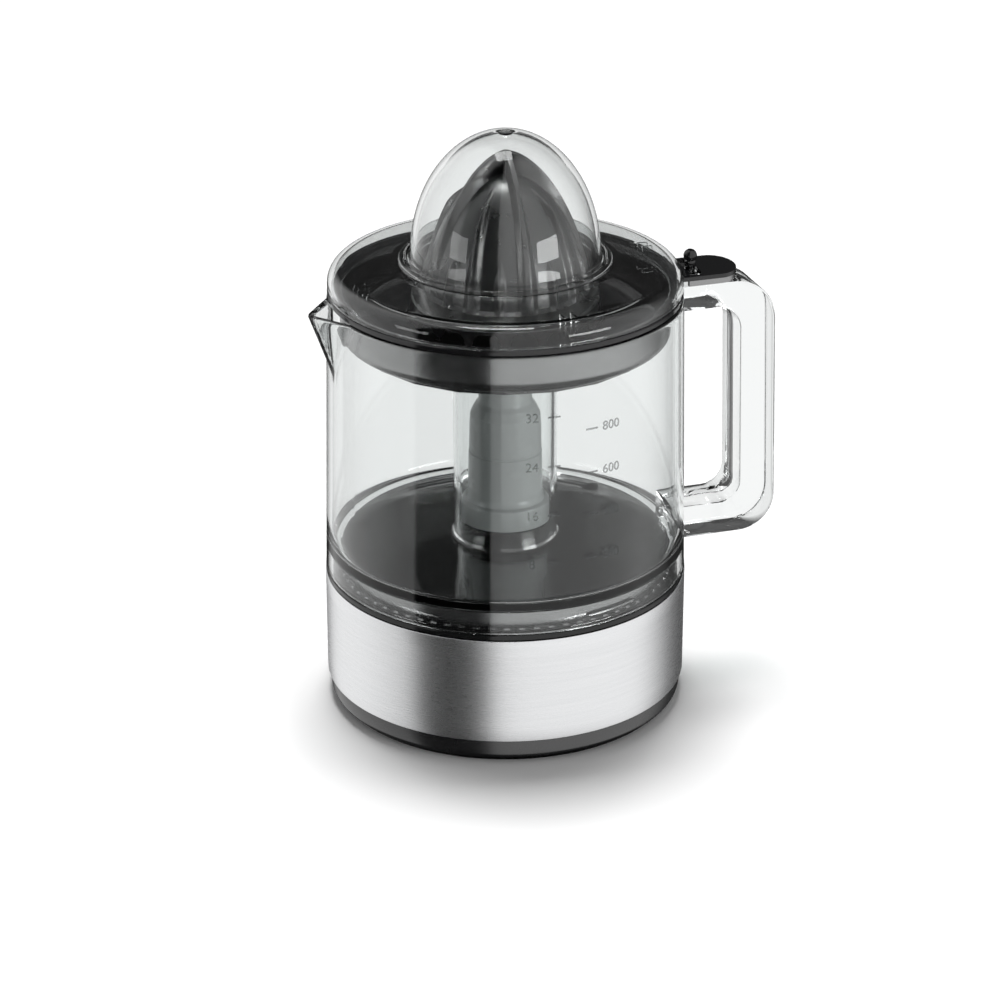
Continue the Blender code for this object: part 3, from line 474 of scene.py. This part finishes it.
def make_housing():
    """Top housing: deck, pedestal and the ledge that the jug stands on."""
    wall_in = 69.0
    under = DECK_Z - 2.2
    low = BAND_LOW.z + 0.1
    ring = BAND_HIGH.z + 0.3
    profile = [(71.2, low), (71.2, ring), (BAND_R - 0.5, ring), (BAND_R - 0.2, ring + 0.3)]
    profile += [(BAND_R - 0.2, LEDGE_Z - 0.3), (BAND_R - 0.5, LEDGE_Z), (DECK_R + 0.6, LEDGE_Z)]
    profile += [(DECK_R, LEDGE_Z + 0.6)] + arc((DECK_R - 1.0, DECK_Z - 1.0), 1.0, 0, 90, 6)
    profile += [(52.0, DECK_Z), (50.0, DECK_Z)]
    profile += arc((20.0, DECK_Z + 2.0), 2.0, 270, 180, 6)
    profile += arc((17.4, PEDESTAL_TOP - 0.6), 0.6, 0, 90, 4)
    profile += [(15.3, PEDESTAL_TOP), (15.3, under), (DECK_R - 2.2, under), (DECK_R - 2.2, LEDGE_Z - 2.2),
                (wall_in, LEDGE_Z - 2.2), (wall_in, low)]
    housing = piece("deck_housing", turned_bmesh(profile), DECK, "base", "top_housing")
    combine(housing, cord_hole(), "DIFFERENCE")
    for i in range(4):
        angle = radians(45 + 90 * i)
        centre = polar(COVER_SCREW_CIRCLE, angle)
        pillar = [(0, 16.6), (4, 16.6), (4, under + 0.6), (0, under + 0.6)]
        combine(housing, turned_bmesh(pillar, 24, centre), "UNION")
        web = box_bmesh((COVER_SCREW_CIRCLE, -1.2, 18), (wall_in + 0.8, 1.2, 53.7))
        combine(housing, spun(web, angle), "UNION")
        combine(housing, turned_bmesh([(0, 10), (1.8, 10), (1.8, 32), (0, 32)], 24, centre), "DIFFERENCE")
    for degrees in (25, 115, 245):
        centre = polar(PLATE_SCREW_CIRCLE, radians(degrees))
        pillar = [(0, 37.3), (3.5, 37.3), (3.5, under + 0.6), (0, under + 0.6)]
        combine(housing, turned_bmesh(pillar, 24, centre), "UNION")
        combine(housing, turned_bmesh([(0, 36), (1.8, 36), (1.8, 52), (0, 52)], 24, centre), "DIFFERENCE")
    ribs = []
    for i in range(72):
        outline = [(DECK_R - 0.5, -2.0), (DECK_R + 0.6, -1.6), (DECK_R + 0.6, 1.6), (DECK_R - 0.5, 2.0)]
        ribs.append(spun(extruded_bmesh(outline, LEDGE_Z - 0.4, LEDGE_Z + 0.8), 2 * pi * i / 72))
    combine(housing, merged(ribs), "UNION")
    details = []
    for turn in range(3):
        for degrees, low, high, half in ((-75, 4.2, 5.4, 7.0), (-82, 2.6, 5.8, 1.2), (-70, 2.4, 3.2, 9.5)):
            angle = radians(degrees + 120 * turn)
            outer = [polar(DECK_R + 1.2, angle + radians(half) * k / 6) for k in range(-6, 7)]
            back = [polar(DECK_R - 0.5, angle + radians(half) * k / 6) for k in range(6, -7, -1)]
            details.append(extruded_bmesh(outer + back, LEDGE_Z + low, LEDGE_Z + high))
    combine(housing, merged(details), "UNION")
    bosses = []
    for degrees in (-86, 34, 154):
        centre = polar(58.0, radians(degrees))
        boss = [(0, DECK_Z - 1), (3.6, DECK_Z - 1), (3.6, DECK_Z + 0.5), (3.3, DECK_Z + 0.8),
                (2.2, DECK_Z + 0.8), (1.9, DECK_Z + 0.4), (0, DECK_Z + 0.4)]
        bosses.append(turned_bmesh(boss, 32, centre))
    combine(housing, merged(bosses), "UNION")
    polish_outside(housing, LEDGE_Z + 0.1, DECK_Z - 1.2)


def make_tower():
    """Grey sleeve that stands on the pedestal, inside the jug's chimney."""
    step = TOWER_LOW.z + 9.6
    profile = [(12.4, TOWER_LOW.z), (15.0, TOWER_LOW.z), (15.0, step)]
    profile += [(17.2, step), (17.6, step + 0.4), (17.6, step + 8.0)] + arc((16.8, step + 8.2), 0.8, 0, 70, 4)
    profile += [(15.7, step + 9.3), (15.1, step + 10.2), (14.9, step + 12.5), (14.6, 104.7), (14.2, 104.9),
                (14.0, 105.3), (14.2, 105.7), (14.4, 105.9), (14.2, 117.0)]
    neck = [(14.2, 117.0), (13.9, 120.8), (12.2, 124.2), (10.9, 125.9), (10.6, 127.0)]
    profile += rounded(neck, 2.0, 4, False)
    profile += [(10.6, TOWER_HIGH.z - 0.8)] + arc((9.8, TOWER_HIGH.z - 0.8), 0.8, 0, 90, 4)
    profile += [(5.2, TOWER_HIGH.z), (5.2, 132.0), (8.2, 132.0), (8.2, 126.0), (12.4, 114.0)]
    piece("tower_grey_sleeve", turned_bmesh(profile, 128), GREY, "base", "tower_sleeve")


# ---------------------------------------------------------------- jug

def jug_radius(z):
    """Outer radius of the jug's tapered wall."""
    return JUG_BOTTOM_R + (JUG_TOP_R - JUG_BOTTOM_R) * (z - JUG_LOW.z) / (RIM_Z - JUG_LOW.z)


def spout_radius(angle, wall_r, z, half_top=17.5, apex=SPOUT_LOW_Z):
    """Radius of the wall at an angle from the spout's middle, where it folds out into the spout."""
    if z <= apex:
        return wall_r
    share = (z - apex) / (RIM_Z - apex)
    tip = wall_r + (SPOUT_REACH - JUG_TOP_R) * share ** 1.05
    side = (half_top * share ** 0.9) / wall_r
    off = abs(angle)
    if off >= side:
        return wall_r
    straight = tip * wall_r * sin(side) / (wall_r * sin(side - off) + tip * sin(off))
    soft = 0.9 * share
    tipped = tip - hypot(soft, off * tip) * 0.9
    return min(straight, max(tipped, wall_r)) if off * tip < soft * 2 else straight


def jug_angles():
    """Angles round the jug, closer together where the spout folds out."""
    angles = []
    fine = radians(16)
    count = 96
    for i in range(count + 1):
        t = -1 + 2 * i / count
        angles.append(pi + fine * t * (0.4 + 0.6 * abs(t)))
    rest = 2 * pi - 2 * fine
    steps = 168
    for i in range(1, steps):
        angles.append(pi + fine + rest * i / steps)
    return angles


def make_jug():
    """The clear jug: wall, floor, chimney, spout and handle in one moulding."""
    floor_low = 66.1
    floor = floor_low + 2.2
    inner = CHIMNEY_R - 2.2
    outer_wall = [JUG_LOW.z + 0.3 + (140.0 - JUG_LOW.z) * k / 4 for k in range(5)]
    spout_wall = [SPOUT_LOW_Z + (RIM_Z - 1.2 - SPOUT_LOW_Z) * k / 14 for k in range(15)]
    profile = [(JUG_BOTTOM_R - 0.3, JUG_LOW.z)]
    profile += [(jug_radius(z), z) for z in outer_wall + spout_wall]
    rim = JUG_TOP_R - JUG_WALL / 2
    lip = JUG_WALL / 2
    profile += arc((rim, RIM_Z - lip), lip, 15, 165, 10)
    wall_in = [(jug_radius(z) - JUG_WALL, z) for z in spout_wall[::-1] + outer_wall[:0:-1]]
    profile += wall_in
    corner = jug_radius(floor) - JUG_WALL
    profile += arc((corner - 3, floor + 3), 3, 0, -90, 6)
    profile += arc((CHIMNEY_R + 1.8, floor + 1.8), 1.8, 270, 180, 5)
    profile += [(CHIMNEY_R, 100.0), (CHIMNEY_R, 150.0), (CHIMNEY_R - 0.5, 150.6), (inner + 0.5, 150.6),
                (inner, 150.0), (inner, 100.0)]
    profile += arc((inner + 1.8, floor_low + 1.8), 1.8, 180, 270, 5)
    profile += [(69.0, floor_low), (69.6, floor_low - 0.6), (69.7, JUG_LOW.z)]

    def shape(index, radius, z, angle):
        off = angle - pi
        off = (off + pi) % (2 * pi) - pi
        if z < SPOUT_LOW_Z or radius < 60:
            return radius, z
        wall_r = jug_radius(z)
        move = spout_radius(off, wall_r, z) - wall_r
        if radius < wall_r - JUG_WALL * 0.9:
            move = max(0.0, spout_radius(off * 1.06, wall_r, z) - wall_r - 0.15)
        return radius + move, z

    bm = turned_bmesh(profile, shape=shape, angles=jug_angles())
    jug = piece("jug_body", bm, CLEAR, "jug", "jug", 30)
    combine(jug, handle_bmesh(), "UNION", 30)
    combine(jug, box_bmesh((60, -8.9, 167.4), (68.4, 8.9, 180)), "DIFFERENCE", 30)
    combine(jug, box_bmesh((68.0, -8.9, HANDLE_TOP + 0.05), (74, 8.9, 180)), "DIFFERENCE", 30)


def handle_outline():
    """Side view of the handle: its outer edge, then its inner one back."""
    top_reach = HANDLE_REACH - 2.2
    outer = [(68.6, HANDLE_TOP)] + arc((top_reach - 18, HANDLE_TOP - 18), 18, 90, 0, 20)
    outer += arc((HANDLE_REACH - 15, HANDLE_BOTTOM + 15), 15, 0, -90, 16) + [(70.8, HANDLE_BOTTOM)]
    low = HANDLE_BOTTOM + 13.7
    high = HANDLE_TOP - 10.0
    inner = [(70.8, low)] + arc((96.9 - 9, low + 9), 9, -90, 0, 12)
    inner += arc((95.2 - 11, high - 11), 11, 0, 90, 14) + [(68.6, high)]
    return outer + inner


def handle_bmesh():
    """The handle's bar with rounded edges."""
    bm = extruded_bmesh(handle_outline(), -HANDLE_HALF, HANDLE_HALF, across_y)
    bmesh.ops.recalc_face_normals(bm, faces=bm.faces)
    edges = [e for e in bm.edges if abs(e.verts[0].co.y - e.verts[1].co.y) < 0.01
             and min(v.co.x for v in e.verts) > 68.7]
    bmesh.ops.bevel(bm, geom=edges, offset=0.9, segments=3, affect="EDGES", profile=0.5)
    return bm


def make_graduations():
    """Raised lines and numbers on the jug's front, for ounces and millilitres."""
    ml_step = 17.6
    oz_step = 19.9
    lowest = 86.0
    for i in range(4):
        scale_mark(FRONT + radians(27.5), lowest + ml_step * i, str(200 * (i + 1)), 1)
    for i in range(4):
        scale_mark(FRONT + radians(15), lowest + oz_step * i, str(8 * (i + 1)), -1)


def scale_mark(angle, z, text, side):
    """A dash on the wall with its number beside it."""
    radius = jug_radius(z) + 0.12
    width = radians(4.0)
    section = [(radius - 0.2, z - 0.35), (radius + 0.1, z - 0.25),
               (radius + 0.1, z + 0.25), (radius - 0.2, z + 0.35)]
    bm = bmesh.new()
    rows = []
    for k in range(9):
        a = angle + width * (k / 8 - 0.5)
        rows.append([bm.verts.new((*polar(r, a), height)) for r, height in section])
    for first, second in zip(rows, rows[1:]):
        bridge(bm, first, second)
    bm.faces.new(rows[0])
    bm.faces.new(rows[-1])
    piece(f"dash_{text}", bm, MARKS, "jug", None)
    curve = bpy.data.curves.new(f"number_{text}", "FONT")
    curve.body = text
    curve.size = 5.2 * MM
    curve.extrude = 0.12 * MM
    curve.align_x = "CENTER"
    curve.align_y = "CENTER"
    label = bpy.data.objects.new(f"number_{text}_flat", curve)
    bpy.context.scene.collection.objects.link(label)
    graph = bpy.context.evaluated_depsgraph_get()
    graph.update()
    mesh = bpy.data.meshes.new_from_object(label.evaluated_get(graph))
    bpy.data.objects.remove(label)
    middle = angle + side * radians(6.9)
    for vertex in mesh.vertices:
        x, y, depth = vertex.co / MM
        a = middle + x / radius
        r = radius + depth
        vertex.co = Vector((AXIS_X + r * cos(a), r * sin(a), z + y)) * MM
    mesh.materials.clear()
    mesh.materials.append(MARKS)
    obj = bpy.data.objects.new(f"number_{text}", mesh)
    bpy.context.scene.collection.objects.link(obj)
    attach(obj, "jug")


# ---------------------------------------------------------------- strainer and selector

def tab_outline(inset):
    half = 11.2 - inset
    end = STRAINER_HIGH.x - AXIS_X - inset
    blend = 9.0
    points = [(66.0, -half)]
    points += [(end - blend + blend * sin(pi * i / 24), -half * cos(pi * i / 24)) for i in range(25)]
    points += [(66.0, half)]
    return points


def make_strainer():
    """The bowl with its slotted floor, hub and the tab that lies over the handle."""
    bottom = 153.0
    floor = bottom + 2.2
    inner = 62.6
    edge = LID_R + 0.1
    top = STRAINER_HIGH.z
    profile = [(edge, top - 0.4), (edge, top - 1.8), (edge - 0.4, top - 2.2),
               (65.2, top - 2.2), (64.6, top - 2.8), (64.6, 160.0)]
    profile += arc((64.6 - 5.5, bottom + 5.5), 5.5, 0, -90, 10)
    profile += [(24.0, bottom), (23.6, bottom - 0.4), (23.6, 149.8), (21.5, 149.8), (21.5, bottom),
                (10.2, bottom), (10.2, 166.0), (10.7, 166.5), (11.9, 166.5), (12.4, 166.0), (12.4, floor + 2.4)]
    profile += arc((14.2, floor + 2.0), 1.8, 180, 270, 4)
    profile += [(26.0, floor), (57.0, floor)]
    profile += arc((inner - 4.5, floor + 4.5), 4.5, -90, 0, 8)
    profile += [(inner, 168.0), (inner + 0.3, top - 1.2), (inner + 1.1, top - 0.3), (inner + 1.8, top),
                (edge - 0.4, top)]
    bowl = turned_bmesh(profile)
    basket = piece("strainer_bowl", bowl, GLOSS, "strainer", "strainer_basket")
    tab = extruded_bmesh(tab_outline(0), 170.2, 171.9)
    combine(basket, tab, "UNION")
    outer = tab_outline(0)[1:-1]
    rim = [(72.4, -11.2)] + outer + [(72.4, 11.2), (72.4, 9.5)]
    rim += tab_outline(1.7)[1:-1][::-1] + [(72.4, -9.5)]
    combine(basket, extruded_bmesh(rim, 168.0, 170.6), "UNION")
    spread = radians(5) + 2.4 / 76.8
    slot = [polar(79.3, spread * k / 8) for k in range(-8, 9)]
    slot += [polar(74.3, spread * k / 8) for k in range(8, -9, -1)]
    combine(basket, extruded_bmesh(slot, 165, 175), "DIFFERENCE")
    slots = []
    for i in range(12):
        outline = rounded([(28.0, -1.5), (55.0, -1.5), (55.0, 1.5), (28.0, 1.5)], 1.3)
        slots.append(spun(extruded_bmesh(outline, bottom - 1, floor + 1), 2 * pi * (i + 0.5) / 12))
    combine(basket, merged(slots), "DIFFERENCE")
    polish_outside(basket, 150.0, 170.2)


def make_knob():
    """Selector knob: a post with a ball on top; its foot passes the tab's slot."""
    x = (KNOB_LOW.x + KNOB_HIGH.x) / 2 - AXIS_X
    base = KNOB_LOW.z
    top = KNOB_HIGH.z
    ball = 2.7
    centre = top - ball - 0.8
    foot = 172.3
    profile = [(0, base), (2.0, base), (2.0, foot), (2.3, foot + 0.4)]
    profile += [(2.3, centre - 2.4), (2.1, centre - 1.8)]
    profile += [(ball * cos(radians(a)), centre + ball * sin(radians(a))) for a in range(-40, 90, 10)]
    profile += [(0, centre + ball)]
    post = turned_bmesh(profile, 48, (x, 0))
    piece("selector_post", post, GLOSS, "selector", "selector_knob")


# ---------------------------------------------------------------- reamers

def blade_radius(z):
    """Radius that the reamer's blades reach."""
    height = (z - 160.0) / (LARGE_HIGH.z - 160.0)
    return 34.8 * max(0.0, 1 - height ** 1.75) ** (1 / 1.75)


def body_radius(z):
    """Radius of the egg-shaped body between the blades."""
    height = min(1.0, (z - 160.0) / 59.0)
    return max(32.6 * max(0.0, 1 - height ** 1.95) ** (1 / 1.95), 1.4)


def smoothstep(low, high, value):
    t = min(1.0, max(0.0, (value - low) / (high - low)))
    return t * t * (3 - 2 * t)


def falling(inner, outer, value):
    return min(1.0, max(0.0, (outer - value) / (outer - inner)))


def make_large_reamer():
    """Pointed reamer: four blades to the tip, ribs that start lower and nine short ones."""
    bottom, tip = LARGE_LOW.z, LARGE_HIGH.z
    front = radians(-92)
    blades = [front + radians(degrees) for degrees in (0, 80, 160, 280)]
    rows = 90
    heights = [bottom + 0.8 + (tip - bottom - 0.8) * sin(pi / 2 * k / rows) for k in range(rows)]
    profile = [(0, 212.0)]
    inner = [bottom + (211.0 - bottom) * sin(pi / 2 * k / 10) for k in range(9, -1, -1)]
    profile += [(max(2.0, body_radius(z + 4) - 3.0), z) for z in inner]
    start = len(profile)
    profile += [(33.6, bottom)] + [(blade_radius(z), z) for z in heights] + [(0, tip)]

    def off(angle, count, phase):
        pitch = 2 * pi / count
        return abs((angle - phase + pitch / 2) % pitch - pitch / 2)

    def shape(index, radius, z, angle):
        if index <= start or radius < 0.5:
            return radius, z
        body = min(radius, body_radius(z))
        wide = smoothstep(tip, bottom, z)
        middle = (body + radius) / 2
        nearest = min(off(angle, 1, blade) for blade in blades)
        main = falling(0.5 + 0.9 * wide, 2.0 + 2.0 * wide, nearest * middle)
        low = smoothstep(216, 205, z)
        second = falling(0.3 + 0.8 * wide, 0.9 + 2.6 * wide, off(angle, 9, front) * middle) * low
        short = smoothstep(193, 184, z)
        third = falling(0.2, 0.4 + 1.9 * short, off(angle, 9, front + radians(20)) * middle) * short
        share = max(main, second, third)
        return body + (radius - body) * share, z

    cone = turned_bmesh(profile, 432, shape=shape)
    piece("reamer_cone", cone, REAMER, "large_reamer", "large_reamer", 50)


def make_small_reamer():
    """Small reamer, whose toothed skirt shows below the large one."""
    top = 169.4
    tip = SMALL_HIGH.z
    low = SMALL_LOW.z
    skirt = 160.5
    inside = SKIRT_R - 1.8
    profile = [(0, 190.0), (5.4, 190.0), (5.4, low), (9.0, low), (9.0, top - 1.8), (inside, top - 1.8),
               (inside, skirt + 0.3), (SKIRT_R - 1.5, skirt), (SKIRT_R - 0.3, skirt),
               (SKIRT_R, skirt + 0.3), (SKIRT_R, top - 0.6), (SKIRT_R - 0.6, top)]
    start = len(profile)
    profile += [(22.0 * sqrt(1 - (k / 24) ** 2), top + (tip - top) * k / 24) for k in range(24)] + [(0, tip)]

    def shape(index, radius, z, angle):
        if index <= start or radius < 1:
            return radius, z
        return radius * (0.96 + 0.04 * cos(8 * angle)), z

    core = turned_bmesh(profile, 192, shape=shape)
    reamer = piece("reamer_core", core, REAMER, "small_reamer", "small_reamer", 45)
    count = 16
    outline = [(-6.6, 159.0), (6.6, 159.0), (6.1, 161.0), (3.4, 166.2), (2.6, 166.7), (-2.6, 166.7),
               (-3.4, 166.2), (-6.1, 161.0)]
    windows = []
    for i in range(count):
        window = extruded_bmesh(outline, SKIRT_R - 4, SKIRT_R + 3, lambda u, v, w: (w, u, v))
        windows.append(spun(window, 2 * pi * (i + 0.5) / count + FRONT))
    combine(reamer, merged(windows), "DIFFERENCE")


# ---------------------------------------------------------------- lid

def make_lid():
    """The clear lid: a shouldered disc, a bead and a vented dome."""
    bottom, top = LID_LOW.z, LID_HIGH.z
    shoulder_z = 182.0
    shoulder = 6.5
    wall = 2.2
    base = 186.0
    dome_r = 37.0
    rise = top - base + 0.12
    vent = 2.6
    profile = [(LID_R - wall, bottom), (LID_R - 0.3, bottom), (LID_R, bottom + 0.3)]
    profile += arc((LID_R - shoulder, shoulder_z - shoulder), shoulder, 0, 90, 14)
    disc = [(62.0, shoulder_z), (45.0, shoulder_z + 1.2), (40.2, shoulder_z + 1.9), (37.6, base - 0.6)]
    profile += rounded(disc + [(dome_r, base + 3)], 2.5, 6, False)[1:]
    steps = 36
    last = 1 - vent / dome_r / (pi / 2)
    start = 3.0 / rise / (pi / 2)
    turns = [start + (last - start) * k / steps for k in range(1, steps + 1)]
    profile += [(dome_r * cos(pi / 2 * t), base + rise * sin(pi / 2 * t)) for t in turns]
    profile[-1] = (vent + 0.25, profile[-1][1])
    inner_r = dome_r - wall
    inner_rise = rise - wall
    profile += [(vent, profile[-1][1] - 0.3), (vent, base + inner_rise)]
    profile += [(inner_r * cos(pi / 2 * t), base + inner_rise * sin(pi / 2 * t)) for t in turns[-2::-1]]
    profile += rounded([(inner_r, base + 3), (inner_r + 0.8, base - 2.2), (39.6, shoulder_z - 0.5),
                        (45.0, shoulder_z + 1.2 - wall), (62.0, shoulder_z - wall)], 2.0, 5, False)[1:]
    profile += arc((LID_R - shoulder, shoulder_z - shoulder), shoulder - wall, 90, 0, 8)
    lid = piece("lid_clear", turned_bmesh(profile), CLEAR_LID, "lid", "lid", 35)
    bead = [(39.8 + 2.0 * cos(radians(a)), 183.8 + 1.7 * sin(radians(a))) for a in range(0, 360, 15)]
    combine(lid, turned_bmesh(bead), "UNION", 35)
    ribs = []
    for turn in range(4):
        for side in (-1, 1):
            rib = box_bmesh((57.4, side * 2.2 - 0.45, 169.4), (61.6, side * 2.2 + 0.45, 181.6))
            ribs.append(spun(rib, FRONT + radians(23 + 90 * turn)))
    combine(lid, merged(ribs), "UNION", 35)


# ---------------------------------------------------------------- finish of the CAD nodes that stay

def finish_nodes():
    """Materials of the CAD nodes that are shown as they are."""
    for name in NODES:
        if name.startswith("rubber_foot") or name in ("cord_gland", "shaft_seal"):
            mat = RUBBER
        elif "_screw_" in name or name in ("idler_pin", "press_spring", "spindle", "rotor", "stator_ring"):
            mat = STEEL
        elif name in ("gearbox_plate", "motor_can", "motor_end_cap"):
            mat = ZINC
        elif name in ("upper_bush", "thrust_washer", "compound_gear", "drive_gear"):
            mat = NYLON
        elif name == "motor_pinion":
            mat = BRASS
        elif name == "switch_plunger":
            mat = RED
        elif name in ("switch_body", "pulp_selector"):
            mat = SATIN
        else:
            continue
        mesh = NODES[name].data
        mesh.materials.clear()
        mesh.materials.append(mat)


# ---------------------------------------------------------------- stage, lights, camera

def make_stage():
    mat = new_material("studio_floor", (0.93, 0.93, 0.93), 0.6)
    vector = coordinates(mat, (1, 1, 1))
    drift = noise(mat, vector, 3.0, 2.0)
    drive(mat, "Base Color", colour_mix(mat, drift, (0.93, 0.93, 0.93), (0.94, 0.94, 0.94)))
    mesh = bpy.data.meshes.new("studio_floor")
    half = 6.0
    corners = [(-half, -half, 0), (half, -half, 0), (half, half, 0), (-half, half, 0)]
    mesh.from_pydata(corners, [], [(0, 1, 2, 3)])
    floor = bpy.data.objects.new("studio_floor", mesh)
    bpy.context.scene.collection.objects.link(floor)
    mesh.materials.append(mat)
    floor.visible_glossy = False
    floor.visible_transmission = False


CAMERA_AZIMUTH = radians(-18)
CAMERA_ELEVATION = radians(24.13)
CAMERA_DISTANCE = 1.300
CAMERA_LENS = 116.9
AIM_Z = 0.0815
AIM_SIDE = -0.0021


def right_of_camera():
    return Vector((cos(CAMERA_AZIMUTH), sin(CAMERA_AZIMUTH), 0))


def away_from_camera():
    return Vector((-sin(CAMERA_AZIMUTH), cos(CAMERA_AZIMUTH), 0))


def make_camera():
    data = bpy.data.cameras.new("camera")
    data.lens = CAMERA_LENS
    data.sensor_width = 36
    data.clip_start = 0.05
    camera = bpy.data.objects.new("camera", data)
    bpy.context.scene.collection.objects.link(camera)
    aim = Vector((AXIS_X * MM, 0, AIM_Z)) + right_of_camera() * AIM_SIDE
    back = -away_from_camera() * cos(CAMERA_ELEVATION) + Vector((0, 0, sin(CAMERA_ELEVATION)))
    camera.location = aim + back * CAMERA_DISTANCE
    camera.rotation_mode = "QUATERNION"
    camera.rotation_quaternion = (-back).to_track_quat("-Z", "Y")
    bpy.context.scene.camera = camera


def area_light(name, side, depth, height, size, power, target=(0, 0, 0.1)):
    """A soft box placed by its offset to the camera's right, away from it and up."""
    data = bpy.data.lights.new(name, "AREA")
    data.shape = "RECTANGLE"
    data.size, data.size_y = size
    data.energy = power
    light = bpy.data.objects.new(name, data)
    bpy.context.scene.collection.objects.link(light)
    centre = Vector((AXIS_X * MM, 0, 0))
    light.location = centre + right_of_camera() * side + away_from_camera() * depth + Vector((0, 0, height))
    direction = centre + Vector(target) - light.location
    light.rotation_mode = "QUATERNION"
    light.rotation_quaternion = direction.to_track_quat("-Z", "Y")
    return light


def make_lights():
    lamps = [area_light("top_box", -0.13, 0.78, 4.0, (1.3, 1.1), 165),
             area_light("right_box", 1.1, -0.8, 0.2, (0.7, 0.35), 8),
             area_light("left_box", -1.05, -0.6, 0.2, (0.5, 0.35), 2)]
    for lamp in lamps:
        lamp.visible_glossy = False
    make_world()


# Brightness of the surroundings by compass angle, seen in reflections only
BANDS = [(-180, 0.72), (-168, 0.7), (-167, 0.02), (-117.5, 0.02), (-116.5, 0.92), (-12, 0.92), (22, 0.12),
         (45, 0.04), (92, 0.04), (110, 0.9), (150, 0.9), (180, 0.72)]
WINDOW_SIDE = 30
AMBIENT = 0.3
WINDOW_TOP = 0.1
STEEP_LOW = -0.72
STEEP_HIGH = -0.58


def world_node(tree, kind, operation, first, second=None, third=None):
    node = tree.nodes.new(kind)
    node.operation = operation
    for index, value in enumerate((first, second, third)):
        if value is None:
            continue
        if isinstance(value, (int, float)):
            node.inputs[index].default_value = value
        else:
            tree.links.new(value, node.inputs[index])
    return node.outputs[0]


def world_mix(tree, factor, first, second):
    node = tree.nodes.new("ShaderNodeMix")
    node.data_type = "FLOAT"
    tree.links.new(factor, node.inputs[0])
    for index, value in ((2, first), (3, second)):
        if isinstance(value, (int, float)):
            node.inputs[index].default_value = value
        else:
            tree.links.new(value, node.inputs[index])
    return node.outputs[0]


def make_world():
    """White to the eye and to the floor; in reflections, bright and dark upright bands."""
    world = bpy.data.worlds.new("studio")
    bpy.context.scene.world = world
    world.use_nodes = True
    tree = world.node_tree
    background = tree.nodes["Background"]
    direction = tree.nodes.new("ShaderNodeTexCoord").outputs["Generated"]
    parts = tree.nodes.new("ShaderNodeSeparateXYZ")
    tree.links.new(direction, parts.inputs[0])
    angle = world_node(tree, "ShaderNodeMath", "ARCTAN2", parts.outputs["Y"], parts.outputs["X"])
    turn = world_node(tree, "ShaderNodeMath", "MULTIPLY_ADD", angle, 0.5 / pi, 0.5)
    stops = tree.nodes.new("ShaderNodeValToRGB")
    tree.links.new(turn, stops.inputs[0])
    elements = stops.color_ramp.elements
    while len(elements) < len(BANDS):
        elements.new(0.5)
    for element, (degrees, level) in zip(elements, BANDS):
        element.position = degrees / 360 + 0.5
        element.color = (level, level, level, 1)
    steep = tree.nodes.new("ShaderNodeMapRange")
    tree.links.new(parts.outputs["Z"], steep.inputs["Value"])
    for key, value in (("From Min", STEEP_LOW), ("From Max", STEEP_HIGH), ("To Min", 0.05), ("To Max", 1.0)):
        steep.inputs[key].default_value = value
    bands = world_node(tree, "ShaderNodeMath", "MULTIPLY", stops.outputs[0], steep.outputs["Result"])
    behind = world_node(tree, "ShaderNodeMath", "SUBTRACT", angle, radians(72))
    behind = world_node(tree, "ShaderNodeMath", "ABSOLUTE", behind)
    across = world_node(tree, "ShaderNodeMath", "LESS_THAN", behind, radians(WINDOW_SIDE))
    below = world_node(tree, "ShaderNodeMath", "LESS_THAN", parts.outputs["Z"], WINDOW_TOP)
    window = world_node(tree, "ShaderNodeMath", "MULTIPLY", across, below)
    path = tree.nodes.new("ShaderNodeLightPath").outputs
    through = world_node(tree, "ShaderNodeMath", "MULTIPLY", window, path["Is Transmission Ray"])
    glossy = world_node(tree, "ShaderNodeMath", "MAXIMUM", path["Is Glossy Ray"], path["Is Transmission Ray"])
    level = world_mix(tree, glossy, AMBIENT, bands)
    level = world_mix(tree, through, level, 1.0)
    level = world_mix(tree, path["Is Camera Ray"], level, 1.0)
    tree.links.new(level, background.inputs["Strength"])
    background.inputs["Color"].default_value = (1, 1, 1, 1)


def set_view():
    scene = bpy.context.scene
    scene.view_settings.view_transform = "Standard"
    scene.view_settings.look = "None"
    scene.cycles.max_bounces = 20
    scene.cycles.transmission_bounces = 20
    scene.cycles.transparent_max_bounces = 24
    scene.cycles.glossy_bounces = 6
    scene.cycles.caustics_refractive = False
    scene.cycles.caustics_reflective = False


make_camera()
make_stage()
make_lights()
set_view()
make_band()
make_cover()
make_housing()
make_tower()
make_jug()
make_graduations()
make_strainer()
make_knob()
make_large_reamer()
make_small_reamer()
make_lid()
finish_nodes()
